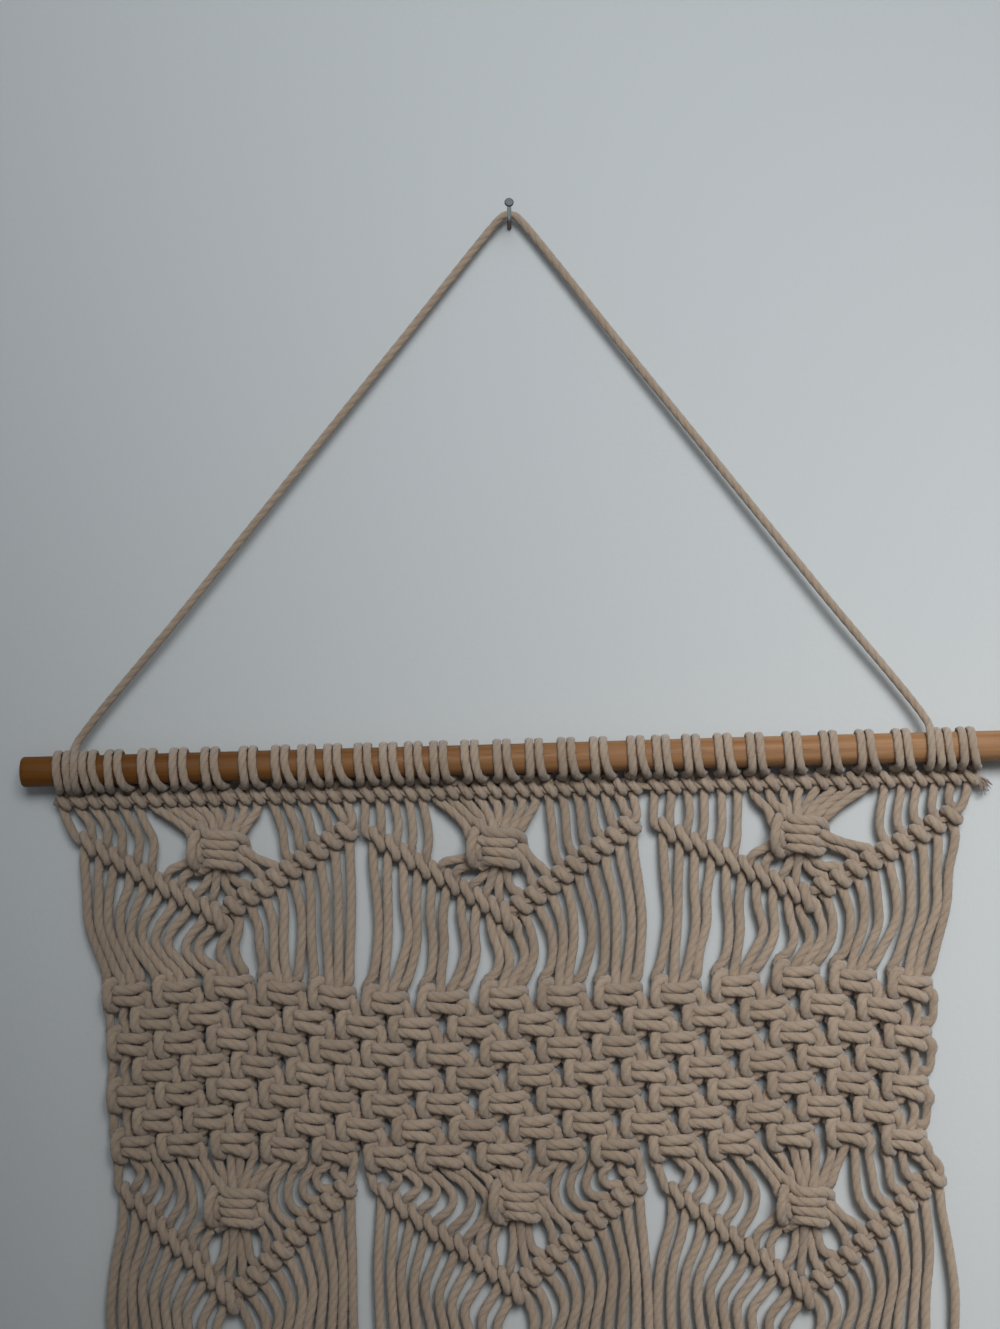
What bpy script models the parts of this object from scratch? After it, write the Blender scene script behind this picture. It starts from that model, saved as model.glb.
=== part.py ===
"""Macrame wall hanging on a wooden rod, hung by its own cord from one nail.

The wall is the plane Y = 0 and the hanging is in front of it, at negative Y. +X is to the right as
seen from the room and +Z is up. The origin is the point where the nail leaves the wall.

All sizes below are in millimetres. A depth is measured down from the rod's axis. The knotted net is
built as its outer form with its gaps: thirty cord loops over the rod, the heading row that they
reach, three upper motifs, the band of square knots, three lower motifs and a fringe under each.
"""

import math
from typing import NamedTuple

import bmesh
import bpy
from mathutils import Matrix, Vector

MM = 0.001
GAP = 0.3                    # clearance that touching pieces keep
CORD = 3.4                   # diameter of the twisted cotton cord
HALF_CORD = CORD / 2

# The rod and the nail
ROD_LENGTH = 400.0
ROD_RADIUS = 6.0
ROD_Y = -10.0
ROD_Z = -213.0
ROD_EDGE = 0.5
NAIL_LENGTH = 24.0           # from the wall to the top of the head, along the nail
NAIL_TILT = math.radians(15)
NAIL_RADIUS = 0.9
NAIL_HEAD_RADIUS = 1.8
NAIL_HEAD = 1.2
NAIL_BURIED = 3.0            # modelled behind the wall, then cut off at the wall

# The cord loops over the rod
LOOP_INNER = 6.85            # at the corners of its eight sides, so that the flats clear the rod
LOOP_OUTER = 9.8
LOOP_WIDTH = 6.4
LOOP_SIDES = 8

# The hanging cord
HITCH_RADIUS = ROD_RADIUS + HALF_CORD + GAP
LEFT_HITCH_X = -177.9
RIGHT_HITCH_X = 161.2
HITCH_TOP = 10.1             # height of the cord over the rod's axis where a leg meets the rod
HITCH_START = 38             # degrees round the rod from its top, over the front
HITCH_END = 285
HITCH_STEP = 30
APEX_Y = -4.5
APEX_Z = 4.6
APEX_RADIUS = 5.0
LEG_HALFWAY = 0.5            # a point on the route in the middle of each leg
ROUTE_SPACING = 14.0         # greatest distance between points of the hanging cord's route

# Levels of the net, as depths below the rod's axis
HEADING_TOP = 9.3
HEADING_BOTTOM = 15.5
HEADING_LEFT = -186.4
HEADING_RIGHT = 181.6
LOOSE_END_DEPTH = 12.0       # where the holding cord comes out of the heading row
LOOSE_END = ((0, 0, 0), (3.0, 0, 0), (5.5, -0.4, -1.4), (8.0, -1.0, -4.6))   # steps from there
BAND_TOP = 85.0
BAND_BOTTOM = 156.0
FRINGE_END = 330.0

# Sizes across the wall: where each layer lies in Y, and how thick it is
NET_Y = -5.3
KNOTTED = 8.4                # thickness of knotted rows
ARM_RADIUS = 3.9
BIG_KNOT = Vector((9.2, 4.9, 9.0))   # half sizes of a big square knot

# The band of square knots
CORDS = 60
KNOT_CORDS = 4
KNOT_ROWS = 7
FIRST_ROW = 90.0
ROW_PITCH = 10.2
BAND_LEFT = (-170.0, -168.7)         # at the band's top and bottom
BAND_RIGHT = (164.0, 158.5)
SCALLOP = 0.9                        # how far a knot at the edge stands out past a free cord
HOLE = Vector((1.9, 3.7))            # half width and half height of a gap between knots

MOTIF_CORDS = 20
OUTER_CORDS = 5                      # cords at each side that run straight to the arms
STITCH = 2.0                         # solid strip left along the top and bottom of a motif
LEAST_SLIT = 0.8
UNDER_BAR = 1.2                      # how far from an arm's middle line the gaps end, inside its bar


class LoopGroup(NamedTuple):
    """Neighbouring loops on the rod with one spacing."""
    first_x: float
    count: int
    pitch: float


LOOP_GROUPS = (
    LoopGroup(-183.1, 3, 10.2),
    LoopGroup(-149.5, 3, 12.5),
    LoopGroup(-109.4, 2, 12.8),
    LoopGroup(-86.2, 2, 10.4),
    LoopGroup(-63.8, 4, 10.0),
    LoopGroup(-21.4, 5, 12.8),
    LoopGroup(44.6, 2, 10.0),
    LoopGroup(66.6, 3, 12.6),
    LoopGroup(106.6, 4, 14.5),
    LoopGroup(166.4, 2, 9.5),
)


class Motif(NamedTuple):
    """One motif of twenty cords: its top edge, the V of its two arms and its big knot.

    x is across the net, and each depth is measured down from the rod's axis.
    """
    name: str
    top_left: float
    top_right: float
    left_x: float
    left_depth: float
    apex_x: float
    apex_depth: float
    right_x: float
    right_depth: float
    knot_x: float
    knot_depth: float
    foot_left: float         # where the motif's outer cords end at its foot
    foot_right: float


UPPER_MOTIFS = (
    Motif("1", -186.2, -67.6, -177.0, 28.0, -123.0, 60.0, -71.5, 30.0, -121.5, 34.5, -170.0, -59.4),
    Motif("2", -65.6, 46.6, -62.0, 29.0, -8.0, 63.0, 42.0, 30.0, -11.5, 36.0, -58.0, 51.7),
    Motif("3", 49.6, 181.4, 52.5, 29.0, 112.0, 58.5, 167.0, 27.5, 110.0, 34.0, 53.4, 164.0),
)
LOWER_MOTIFS = (
    Motif("1", -168.5, -76.0, -163.0, 171.0, -123.0, 213.0, -76.5, 170.0, -119.5, 173.0, -173.4, -71.6),
    Motif("2", -61.0, 41.0, -62.0, 170.0, -7.0, 212.0, 40.5, 170.0, -3.5, 172.0, -68.0, 45.0),
    Motif("3", 53.5, 157.0, 54.5, 171.0, 110.0, 217.0, 157.0, 169.0, 112.0, 173.0, 49.0, 162.4),
)

# How finely round shapes are made
ROUND_SIDES = 2              # extra sides for each quarter of a cord's tube
BAR_SIDES = 1
DOWEL_SIDES = 32
NAIL_SIDES = 16
HEADING_SIDES = 10
KNOT_SEGMENTS = 10
KNOT_RINGS = 6
WELD = 0.00001               # metres: nearer corners than this are one corner
CREASE = math.radians(40)

# The fringe: its spine lies under the arms, and its cords bend to the upright below it
SPINE_TOP = 5.3
SPINE_BOTTOM = 8.6
BEND_DROP = 14.0
BEND_SHARE = 0.75            # how much of a cord's sideways way it has gone at the bend
FRINGE_UNEVEN = 2.5          # its cords end a little higher or lower than each other
FRINGE_WAVE = 2.4            # radians from one cord's end to the next, so that no two are alike


def blend(start, end, part):
    """The value that lies the given part of the way from start to end."""
    return start + (end - start) * part


def clear_scene():
    """Removes whatever the file holds, so that the script gives the same model each run."""
    for thing in list(bpy.data.objects):
        bpy.data.objects.remove(thing)
    for collection in list(bpy.data.collections):
        bpy.data.collections.remove(collection)


def new_collection(name):
    """A collection of that name under the scene's own."""
    collection = bpy.data.collections.new(name)
    bpy.context.scene.collection.children.link(collection)
    return collection


def material(name, colour, roughness, metallic=0.0):
    """A plain Principled material."""
    made = bpy.data.materials.new(name)
    made.use_nodes = True
    shader = made.node_tree.nodes["Principled BSDF"]
    shader.inputs["Base Color"].default_value = (*colour, 1)
    shader.inputs["Roughness"].default_value = roughness
    shader.inputs["Metallic"].default_value = metallic
    return made


def add_object(name, data, collection, finish):
    """Links an object with that name, data and material."""
    made = bpy.data.objects.new(name, data)
    collection.objects.link(made)
    if finish is not None and not data.materials:
        data.materials.append(finish)
    return made


def curve_data(name, rows, closed):
    """Curve data with one POLY spline for each row of points, in metres."""
    curve = bpy.data.curves.new(name, "CURVE")
    for row in rows:
        spline = curve.splines.new("POLY")
        spline.points.add(len(row) - 1)
        for point, place in zip(spline.points, row):
            point.co = (*(Vector(place).to_3d() * MM), 1)
        spline.use_cyclic_u = closed
    return curve


def to_mesh(made):
    """Turns a curve object into a welded mesh object in the same place, and returns it."""
    bpy.context.view_layer.update()
    evaluated = made.evaluated_get(bpy.context.evaluated_depsgraph_get())
    mesh = bpy.data.meshes.new_from_object(evaluated)
    shape = bmesh.new()
    shape.from_mesh(mesh)
    bmesh.ops.remove_doubles(shape, verts=shape.verts, dist=WELD)
    bmesh.ops.recalc_face_normals(shape, faces=shape.faces)
    shape.to_mesh(mesh)
    shape.free()
    name = made.name
    place = made.matrix_world.copy()
    collection = made.users_collection[0]
    bpy.data.objects.remove(made)
    replaced = add_object(name, mesh, collection, None)
    replaced.matrix_world = place
    return replaced


def plate(name, outline, gaps, thickness, collection, finish):
    """A flat piece of the net, from an outline and its gaps given as (x, depth) points."""
    rows = [[(x, ROD_Z - depth) for x, depth in row] for row in [outline, *gaps]]
    curve = curve_data(name, rows, True)
    curve.dimensions = "2D"
    curve.fill_mode = "BOTH"
    curve.extrude = thickness / 2 * MM
    made = add_object(name, curve, collection, finish)
    made.location = (0, NET_Y * MM, 0)
    made.rotation_euler = (math.radians(90), 0, 0)
    return made


def tube(name, points, radius, sides_resolution, collection, finish):
    """A round bar along the points, closed at both ends."""
    curve = curve_data(name, [points], False)
    curve.dimensions = "3D"
    curve.bevel_depth = radius * MM
    curve.bevel_resolution = sides_resolution
    curve.use_fill_caps = True
    return add_object(name, curve, collection, finish)


def smooth_route(knots, spacing):
    """Points along a smooth curve through the knots, at most the given spacing apart."""
    points = []
    for index in range(len(knots) - 1):
        before = knots[max(index - 1, 0)]
        start, end = knots[index], knots[index + 1]
        after = knots[min(index + 2, len(knots) - 1)]
        leaving = (end - before) / 2
        arriving = (after - start) / 2
        steps = max(1, math.ceil((end - start).length / spacing))
        for step in range(steps):
            part = step / steps
            points.append(
                start * (2 * part**3 - 3 * part**2 + 1)
                + leaving * (part**3 - 2 * part**2 + part)
                + end * (3 * part**2 - 2 * part**3)
                + arriving * (part**3 - part**2)
            )
    points.append(knots[-1])
    return points


def join_solids(target, extras, cutters):
    """Unites each extra solid with the target by a Boolean modifier."""
    for extra in extras:
        for collection in list(extra.users_collection):
            collection.objects.unlink(extra)
        cutters.objects.link(extra)
        extra.hide_render = True
        extra.display_type = "WIRE"
        union = target.modifiers.new("join " + extra.name, "BOOLEAN")
        union.operation = "UNION"
        union.solver = "MANIFOLD"
        union.object = extra


def add_rod(collection, finish):
    """The wooden rod, a plain dowel with softened ends."""
    bpy.ops.mesh.primitive_cylinder_add(
        vertices=DOWEL_SIDES, radius=ROD_RADIUS * MM, depth=ROD_LENGTH * MM,
        location=(0, ROD_Y * MM, ROD_Z * MM), rotation=(0, math.radians(90), 0),
    )
    rod = bpy.context.object
    rod.name = "rod"
    for owner in list(rod.users_collection):
        owner.objects.unlink(rod)
    collection.objects.link(rod)
    rod.data.materials.append(finish)
    ends = rod.modifiers.new("softened ends", "BEVEL")
    ends.width = ROD_EDGE * MM
    ends.segments = 1
    ends.limit_method = "ANGLE"
    ends.angle_limit = math.radians(60)
    rod.data.shade_smooth()
    rod.data.set_sharp_from_angle(angle=CREASE)


def add_nail(collection, finish):
    """The nail, a turned profile tilted upwards and cut off flat at the wall."""
    profile = (
        (0, NAIL_LENGTH),
        (NAIL_HEAD_RADIUS, NAIL_LENGTH),
        (NAIL_HEAD_RADIUS, NAIL_LENGTH - NAIL_HEAD),
        (NAIL_RADIUS, NAIL_LENGTH - NAIL_HEAD),
        (NAIL_RADIUS, -NAIL_BURIED),
        (0, -NAIL_BURIED),
    )
    shape = bmesh.new()
    corners = [shape.verts.new((radius * MM, 0, height * MM)) for radius, height in profile]
    for one, other in zip(corners, corners[1:]):
        shape.edges.new((one, other))
    bmesh.ops.spin(
        shape, geom=shape.verts[:] + shape.edges[:], cent=(0, 0, 0), axis=(0, 0, 1),
        angle=math.tau, steps=NAIL_SIDES, use_merge=True,
    )
    bmesh.ops.remove_doubles(shape, verts=shape.verts, dist=WELD)
    lean = Matrix.Rotation(math.radians(90) - NAIL_TILT, 3, "X")
    bmesh.ops.rotate(shape, verts=shape.verts, cent=(0, 0, 0), matrix=lean)
    wall = bmesh.ops.bisect_plane(
        shape, geom=shape.verts[:] + shape.edges[:] + shape.faces[:],
        plane_co=(0, 0, 0), plane_no=(0, 1, 0), clear_outer=True,
    )
    rim = [part for part in wall["geom_cut"] if isinstance(part, bmesh.types.BMEdge)]
    bmesh.ops.contextual_create(shape, geom=rim)
    bmesh.ops.recalc_face_normals(shape, faces=shape.faces)
    mesh = bpy.data.meshes.new("nail")
    shape.to_mesh(mesh)
    shape.free()
    mesh.shade_smooth()
    mesh.set_sharp_from_angle(angle=CREASE)
    add_object("nail", mesh, collection, finish)


def loop_centres():
    """The x of each cord loop on the rod, from left to right."""
    return [
        group.first_x + group.pitch * index
        for group in LOOP_GROUPS
        for index in range(group.count)
    ]


def add_loops(collection, finish):
    """Thirty folded cords, each a two-strand loop round the rod, sharing one mesh."""
    shape = bmesh.new()
    profile = (
        (LOOP_OUTER, LOOP_WIDTH / 2),
        (LOOP_OUTER, -LOOP_WIDTH / 2),
        (LOOP_INNER, -LOOP_WIDTH / 2),
        (LOOP_INNER, LOOP_WIDTH / 2),
    )
    corners = [shape.verts.new((across * MM, 0, radius * MM)) for radius, across in profile]
    edges = [shape.edges.new((corners[index - 1], corners[index])) for index in range(4)]
    bmesh.ops.spin(
        shape, geom=corners + edges, cent=(0, 0, 0), axis=(1, 0, 0),
        angle=math.tau, steps=LOOP_SIDES, use_merge=True,
    )
    flat_down = Matrix.Rotation(math.pi / LOOP_SIDES, 3, "X")
    bmesh.ops.rotate(shape, verts=shape.verts, cent=(0, 0, 0), matrix=flat_down)
    bmesh.ops.remove_doubles(shape, verts=shape.verts, dist=WELD)
    bmesh.ops.recalc_face_normals(shape, faces=shape.faces)
    mesh = bpy.data.meshes.new("cord_loop")
    shape.to_mesh(mesh)
    shape.free()
    for number, x in enumerate(loop_centres(), start=1):
        loop = add_object(f"cord_loop_{number:02d}", mesh, collection, finish)
        loop.location = (x * MM, ROD_Y * MM, ROD_Z * MM)


def hitch_route(x):
    """The cord's turn round the rod, from the top over the front to the back."""
    turns = [math.radians(angle) for angle in range(HITCH_START, HITCH_END + 1, HITCH_STEP)]
    return [
        Vector((x, ROD_Y - HITCH_RADIUS * math.sin(turn), ROD_Z + HITCH_RADIUS * math.cos(turn)))
        for turn in turns
    ]


def apex_route(left_leg, right_leg):
    """The bend over the nail, between the directions of the two legs."""
    centre = Vector((0, APEX_Y, APEX_Z - APEX_RADIUS))
    left_angle = math.atan2(centre.z - left_leg.z, centre.x - left_leg.x)
    right_angle = math.atan2(centre.z - right_leg.z, right_leg.x - centre.x)
    angles = (-left_angle, -left_angle / 2, 0, right_angle / 2, right_angle)
    return [
        centre + APEX_RADIUS * Vector((math.sin(angle), 0, math.cos(angle)))
        for angle in angles
    ]


def add_hanger(collection, finish):
    """The hanging cord: round the rod, up over the nail, and down round the rod again."""
    left_leg = Vector((LEFT_HITCH_X, ROD_Y, ROD_Z + HITCH_TOP))
    right_leg = Vector((RIGHT_HITCH_X, ROD_Y, ROD_Z + HITCH_TOP))
    bend = apex_route(left_leg, right_leg)
    knots = [
        *reversed(hitch_route(LEFT_HITCH_X)),
        left_leg,
        left_leg.lerp(bend[0], LEG_HALFWAY),
        *bend,
        bend[-1].lerp(right_leg, LEG_HALFWAY),
        right_leg,
        *hitch_route(RIGHT_HITCH_X),
    ]
    route = smooth_route(knots, ROUTE_SPACING)
    tube("hanger_cord", route, HALF_CORD, ROUND_SIDES, collection, finish)


def add_heading(collection, finish):
    """The heading row: a holding cord with a double half hitch of every cord round it."""
    middle = ROD_Z - (HEADING_TOP + HEADING_BOTTOM) / 2
    across = HEADING_BOTTOM - HEADING_TOP
    bpy.ops.mesh.primitive_cylinder_add(
        vertices=HEADING_SIDES, radius=across / 2 * MM, depth=(HEADING_RIGHT - HEADING_LEFT) * MM,
        location=((HEADING_LEFT + HEADING_RIGHT) / 2 * MM, NET_Y * MM, middle * MM),
        rotation=(0, math.radians(90), 0),
    )
    heading = bpy.context.object
    heading.name = "heading_row"
    for owner in list(heading.users_collection):
        owner.objects.unlink(heading)
    collection.objects.link(heading)
    heading.data.transform(Matrix.Diagonal((1, KNOTTED / across, 1, 1)))
    heading.data.materials.append(finish)


def add_cord_end(collection, finish):
    """The frayed end of the holding cord, past the right end of the heading row."""
    start = Vector((HEADING_RIGHT + GAP, NET_Y, ROD_Z - LOOSE_END_DEPTH))
    points = [start + Vector(step) for step in LOOSE_END]
    tube("cord_end", points, HALF_CORD, ROUND_SIDES, collection, finish)


def cord_top(motif, cord):
    """The x of a cord where it enters the motif."""
    return blend(motif.top_left, motif.top_right, (cord + 0.5) / MOTIF_CORDS)


def cord_foot(motif, cord):
    """The x of a cord where it leaves the motif's foot."""
    return blend(motif.foot_left, motif.foot_right, (cord + 0.5) / MOTIF_CORDS)


def on_arm(motif, cord):
    """Where a cord is knotted round an arm, as (x, depth)."""
    half = MOTIF_CORDS / 2
    if cord < half:
        part = (cord + 0.5) / half
        return (
            blend(motif.left_x, motif.apex_x, part),
            blend(motif.left_depth, motif.apex_depth, part),
        )
    part = (MOTIF_CORDS - cord - 0.5) / half
    return (
        blend(motif.right_x, motif.apex_x, part),
        blend(motif.right_depth, motif.apex_depth, part),
    )


def slit_edge(left_x, right_x, depth):
    """The two corners at one end of the slit between neighbouring cords."""
    half = max(right_x - left_x - CORD, LEAST_SLIT) / 2
    middle = (left_x + right_x) / 2
    return [(middle - half, depth), (middle + half, depth)]


def slit_on_arm(motif, cord, drop):
    """The end of the slit between a cord and the next that lies inside their arm."""
    left_x, left_depth = on_arm(motif, cord)
    right_x, right_depth = on_arm(motif, cord + 1)
    return slit_edge(left_x, right_x, (left_depth + right_depth) / 2 + drop)


def straight_gap(motif, cord, top):
    """The slit between an outer cord and the next, from the motif's top to the arm."""
    upper = slit_edge(cord_top(motif, cord), cord_top(motif, cord + 1), top + STITCH)
    return [*upper, *reversed(slit_on_arm(motif, cord, -UNDER_BAR))]


def side_gap(motif, top, side):
    """The wide gap beside the big knot, on the left (side -1) or the right (side 1)."""
    outer = OUTER_CORDS - 1 if side < 0 else MOTIF_CORDS - OUTER_CORDS
    inner = outer - side
    outer_x, outer_depth = on_arm(motif, outer)
    inner_x, inner_depth = on_arm(motif, inner)
    knot_edge = motif.knot_x + side * BIG_KNOT.x
    return [
        (cord_top(motif, outer) - side * HALF_CORD, top + STITCH),
        (cord_top(motif, inner) + side * HALF_CORD, top + STITCH),
        (knot_edge, motif.knot_depth - BIG_KNOT.z / 2),
        (knot_edge, motif.knot_depth + BIG_KNOT.z / 3),
        (inner_x, inner_depth - UNDER_BAR),
        (outer_x - side * HALF_CORD, outer_depth - UNDER_BAR),
    ]


def lower_gap(motif, side):
    """The gap between the big knot, the cords that fan out under it and the arm."""
    first = OUTER_CORDS + 1 if side < 0 else MOTIF_CORDS - OUTER_CORDS - 2
    second = first - 2 * side
    first_x, first_depth = on_arm(motif, first)
    second_x, second_depth = on_arm(motif, second)
    under = motif.knot_depth + BIG_KNOT.z
    return [
        (motif.knot_x + side * BIG_KNOT.x / 2, under - STITCH),
        (first_x, first_depth - UNDER_BAR),
        (second_x, second_depth - UNDER_BAR),
    ]


def below_gap(motif, cord, bottom):
    """The slit between a cord and the next, from the arm down to the motif's foot."""
    lower = slit_edge(cord_foot(motif, cord), cord_foot(motif, cord + 1), bottom - STITCH)
    return [*slit_on_arm(motif, cord, UNDER_BAR), *reversed(lower)]


def arm_bars(motif, level, collection):
    """The two arms of a motif, one V-shaped bar of knots round the leading cords."""
    corners = (
        (motif.left_x, motif.left_depth),
        (motif.apex_x, motif.apex_depth),
        (motif.right_x, motif.right_depth),
    )
    points = [(x, NET_Y, ROD_Z - depth) for x, depth in corners]
    bar = tube(f"{level}_arms_{motif.name}", points, ARM_RADIUS, BAR_SIDES, collection, None)
    return to_mesh(bar)


def big_knot(motif, level, collection):
    """The big square knot over the arms, a soft round body."""
    shape = bmesh.new()
    bmesh.ops.create_uvsphere(shape, u_segments=KNOT_SEGMENTS, v_segments=KNOT_RINGS, radius=1.0)
    bmesh.ops.scale(shape, vec=BIG_KNOT * MM, verts=shape.verts)
    mesh = bpy.data.meshes.new(f"{level}_big_knot_{motif.name}")
    shape.to_mesh(mesh)
    shape.free()
    knot = add_object(mesh.name, mesh, collection, None)
    knot.location = (motif.knot_x * MM, NET_Y * MM, (ROD_Z - motif.knot_depth) * MM)
    return knot


def add_motif(motif, level, outline, gaps, collection, cutters, finish):
    """One motif: its cords as a flat piece, joined with its arms and its big knot."""
    name = f"{level}_motif_{motif.name}"
    body = to_mesh(plate(name, outline, gaps, CORD, collection, finish))
    extras = [arm_bars(motif, level, collection), big_knot(motif, level, collection)]
    join_solids(body, extras, cutters)


def gaps_over_arms(motif, top):
    """All the gaps between the motif's top and its arms."""
    outer = [*range(OUTER_CORDS - 1), *range(MOTIF_CORDS - OUTER_CORDS, MOTIF_CORDS - 1)]
    gaps = [straight_gap(motif, cord, top) for cord in outer]
    gaps += [side_gap(motif, top, side) for side in (-1, 1)]
    gaps += [lower_gap(motif, side) for side in (-1, 1)]
    return gaps


def add_upper_motifs(collection, cutters, finish):
    """The three motifs between the heading row and the band of square knots."""
    top = HEADING_BOTTOM + GAP
    bottom = BAND_TOP - GAP
    for motif in UPPER_MOTIFS:
        outline = [
            (motif.top_left, top),
            (motif.top_right, top),
            (motif.right_x + HALF_CORD, motif.right_depth),
            (motif.foot_right - GAP, bottom),
            (motif.foot_left + GAP, bottom),
            (motif.left_x - HALF_CORD, motif.left_depth),
        ]
        gaps = gaps_over_arms(motif, top)
        gaps += [below_gap(motif, cord, bottom) for cord in range(MOTIF_CORDS - 1)]
        add_motif(motif, "upper", outline, gaps, collection, cutters, finish)


def add_lower_motifs(collection, cutters, finish):
    """The three motifs that hang from the band, down to their arms."""
    top = BAND_BOTTOM + GAP
    for motif in LOWER_MOTIFS:
        outline = [
            (motif.top_left, top),
            (motif.top_right, top),
            (motif.right_x + HALF_CORD, motif.right_depth),
            (motif.apex_x, motif.apex_depth),
            (motif.left_x - HALF_CORD, motif.left_depth),
        ]
        add_motif(motif, "lower", outline, gaps_over_arms(motif, top), collection, cutters, finish)


def band_edges(depth):
    """The left and right edge of the band of square knots at a depth, without its scallops."""
    part = (depth - BAND_TOP) / (BAND_BOTTOM - BAND_TOP)
    return blend(*BAND_LEFT, part), blend(*BAND_RIGHT, part)


def add_knot_band(collection, finish):
    """Seven rows of alternating square knots, with the gap beside every knot."""
    left_side, right_side, gaps = [], [], []
    for row in range(KNOT_ROWS):
        depth = FIRST_ROW + row * ROW_PITCH
        left, right = band_edges(depth)
        offset = row % 2
        out = SCALLOP * (1 - 2 * offset)
        left_side.append((left - out, depth))
        right_side.append((right + out, depth))
        first = KNOT_CORDS - 2 * offset
        for cord in range(first, CORDS - first + 1, KNOT_CORDS):
            x = blend(left, right, cord / CORDS)
            gaps.append([
                (x, depth - HOLE.y), (x + HOLE.x, depth), (x, depth + HOLE.y), (x - HOLE.x, depth),
            ])
    top_left, top_right = band_edges(BAND_TOP)
    low_left, low_right = band_edges(BAND_BOTTOM)
    outline = [
        (top_left, BAND_TOP), (top_right, BAND_TOP), *right_side,
        (low_right, BAND_BOTTOM), (low_left, BAND_BOTTOM), *reversed(left_side),
    ]
    plate("knot_band", outline, gaps, KNOTTED, collection, finish)


def under_arms(motif, x, drop):
    """The depth at x of a line that runs the given drop under the motif's arms."""
    if x < motif.apex_x:
        part = (x - motif.left_x) / (motif.apex_x - motif.left_x)
        return blend(motif.left_depth, motif.apex_depth, part) + drop
    part = (motif.right_x - x) / (motif.right_x - motif.apex_x)
    return blend(motif.right_depth, motif.apex_depth, part) + drop


def add_fringes(collection, finish):
    """The fringe under each lower motif: a comb with one tooth for each of its cords."""
    for number, motif in enumerate(LOWER_MOTIFS):
        outline = []
        for cord in range(MOTIF_CORDS):
            top_x, _ = on_arm(motif, cord)
            end_x = cord_foot(motif, cord)
            bend_x = blend(top_x, end_x, BEND_SHARE)
            bend = under_arms(motif, top_x, SPINE_BOTTOM + BEND_DROP)
            end = FRINGE_END + FRINGE_UNEVEN * math.sin(FRINGE_WAVE * cord + number)
            outline += [
                (top_x - HALF_CORD, under_arms(motif, top_x - HALF_CORD, SPINE_BOTTOM)),
                (bend_x - HALF_CORD, bend),
                (end_x - HALF_CORD, end),
                (end_x + HALF_CORD, end),
                (bend_x + HALF_CORD, bend),
                (top_x + HALF_CORD, under_arms(motif, top_x + HALF_CORD, SPINE_BOTTOM)),
            ]
        right_x, _ = on_arm(motif, MOTIF_CORDS - 1)
        left_x, _ = on_arm(motif, 0)
        outline += [
            (right_x + HALF_CORD, under_arms(motif, right_x + HALF_CORD, SPINE_TOP)),
            (motif.apex_x, motif.apex_depth + SPINE_TOP),
            (left_x - HALF_CORD, under_arms(motif, left_x - HALF_CORD, SPINE_TOP)),
        ]
        plate(f"fringe_{motif.name}", outline, [], CORD, collection, finish)


def main():
    """Builds the hanging."""
    clear_scene()
    parts = new_collection("macrame_wall_hanging")
    cutters = new_collection("cutters")
    wood = material("stained_wood", (0.30, 0.13, 0.045), 0.45)
    steel = material("nail_steel", (0.16, 0.16, 0.17), 0.4, 0.9)
    cotton = material("cotton_cord", (0.36, 0.29, 0.22), 0.9)
    add_rod(parts, wood)
    add_nail(parts, steel)
    add_hanger(parts, cotton)
    add_loops(parts, cotton)
    add_heading(parts, cotton)
    add_cord_end(parts, cotton)
    add_upper_motifs(parts, cutters, cotton)
    add_knot_band(parts, cotton)
    add_lower_motifs(parts, cutters, cotton)
    add_fringes(parts, cotton)


main()
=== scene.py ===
"""Looks of a macrame wall hanging: a stained dowel, thirty folded cotton cords and one nail.

Every cord of the net is laid as the maker lays it, strand by strand, through its real knots: the
larks-head loops over the dowel, the heading row on its holding cord, the V-shaped arms of half
hitches, the big doubled square knots, the band of alternating square knots and the fringe. The
strands are then pressed apart, as tight cords press on each other, and swept as three-ply twist.

Lengths are in millimetres until a mesh is made. "x" is across the net, "depth" is measured down
from the dowel's axis, and "out" is measured from the net's middle layer towards the room.
"""

import logging
import math
from dataclasses import dataclass, field
from enum import Enum
from typing import Any, Iterable, Sequence

import bmesh
import bpy
import numpy as np
from mathutils import Matrix, Vector


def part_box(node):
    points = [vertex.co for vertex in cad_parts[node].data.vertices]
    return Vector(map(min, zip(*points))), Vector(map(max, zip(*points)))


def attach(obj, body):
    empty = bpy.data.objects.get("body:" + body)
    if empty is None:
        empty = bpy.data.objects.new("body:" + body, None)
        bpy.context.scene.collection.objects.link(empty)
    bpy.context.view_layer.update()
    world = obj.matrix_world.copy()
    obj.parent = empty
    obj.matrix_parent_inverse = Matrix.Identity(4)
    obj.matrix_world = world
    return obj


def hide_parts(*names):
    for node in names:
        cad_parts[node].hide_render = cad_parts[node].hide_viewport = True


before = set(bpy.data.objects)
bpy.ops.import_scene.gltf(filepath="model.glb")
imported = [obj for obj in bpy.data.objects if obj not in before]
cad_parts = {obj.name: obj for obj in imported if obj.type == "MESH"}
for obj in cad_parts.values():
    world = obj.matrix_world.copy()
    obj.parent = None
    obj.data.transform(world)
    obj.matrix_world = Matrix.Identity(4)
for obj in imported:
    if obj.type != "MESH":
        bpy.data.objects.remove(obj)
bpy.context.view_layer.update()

LOG = logging.getLogger("hanging")
MM = 0.001
BODY = "root"                # the one body, on which every piece rides


def measured(node: str) -> tuple[list[float], list[float]]:
    """The middle and the size of a CAD node, in millimetres to a hundredth."""
    low, high = (np.array(corner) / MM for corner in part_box(node))
    return ((low + high) / 2).round(2).tolist(), (high - low).round(2).tolist()


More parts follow.
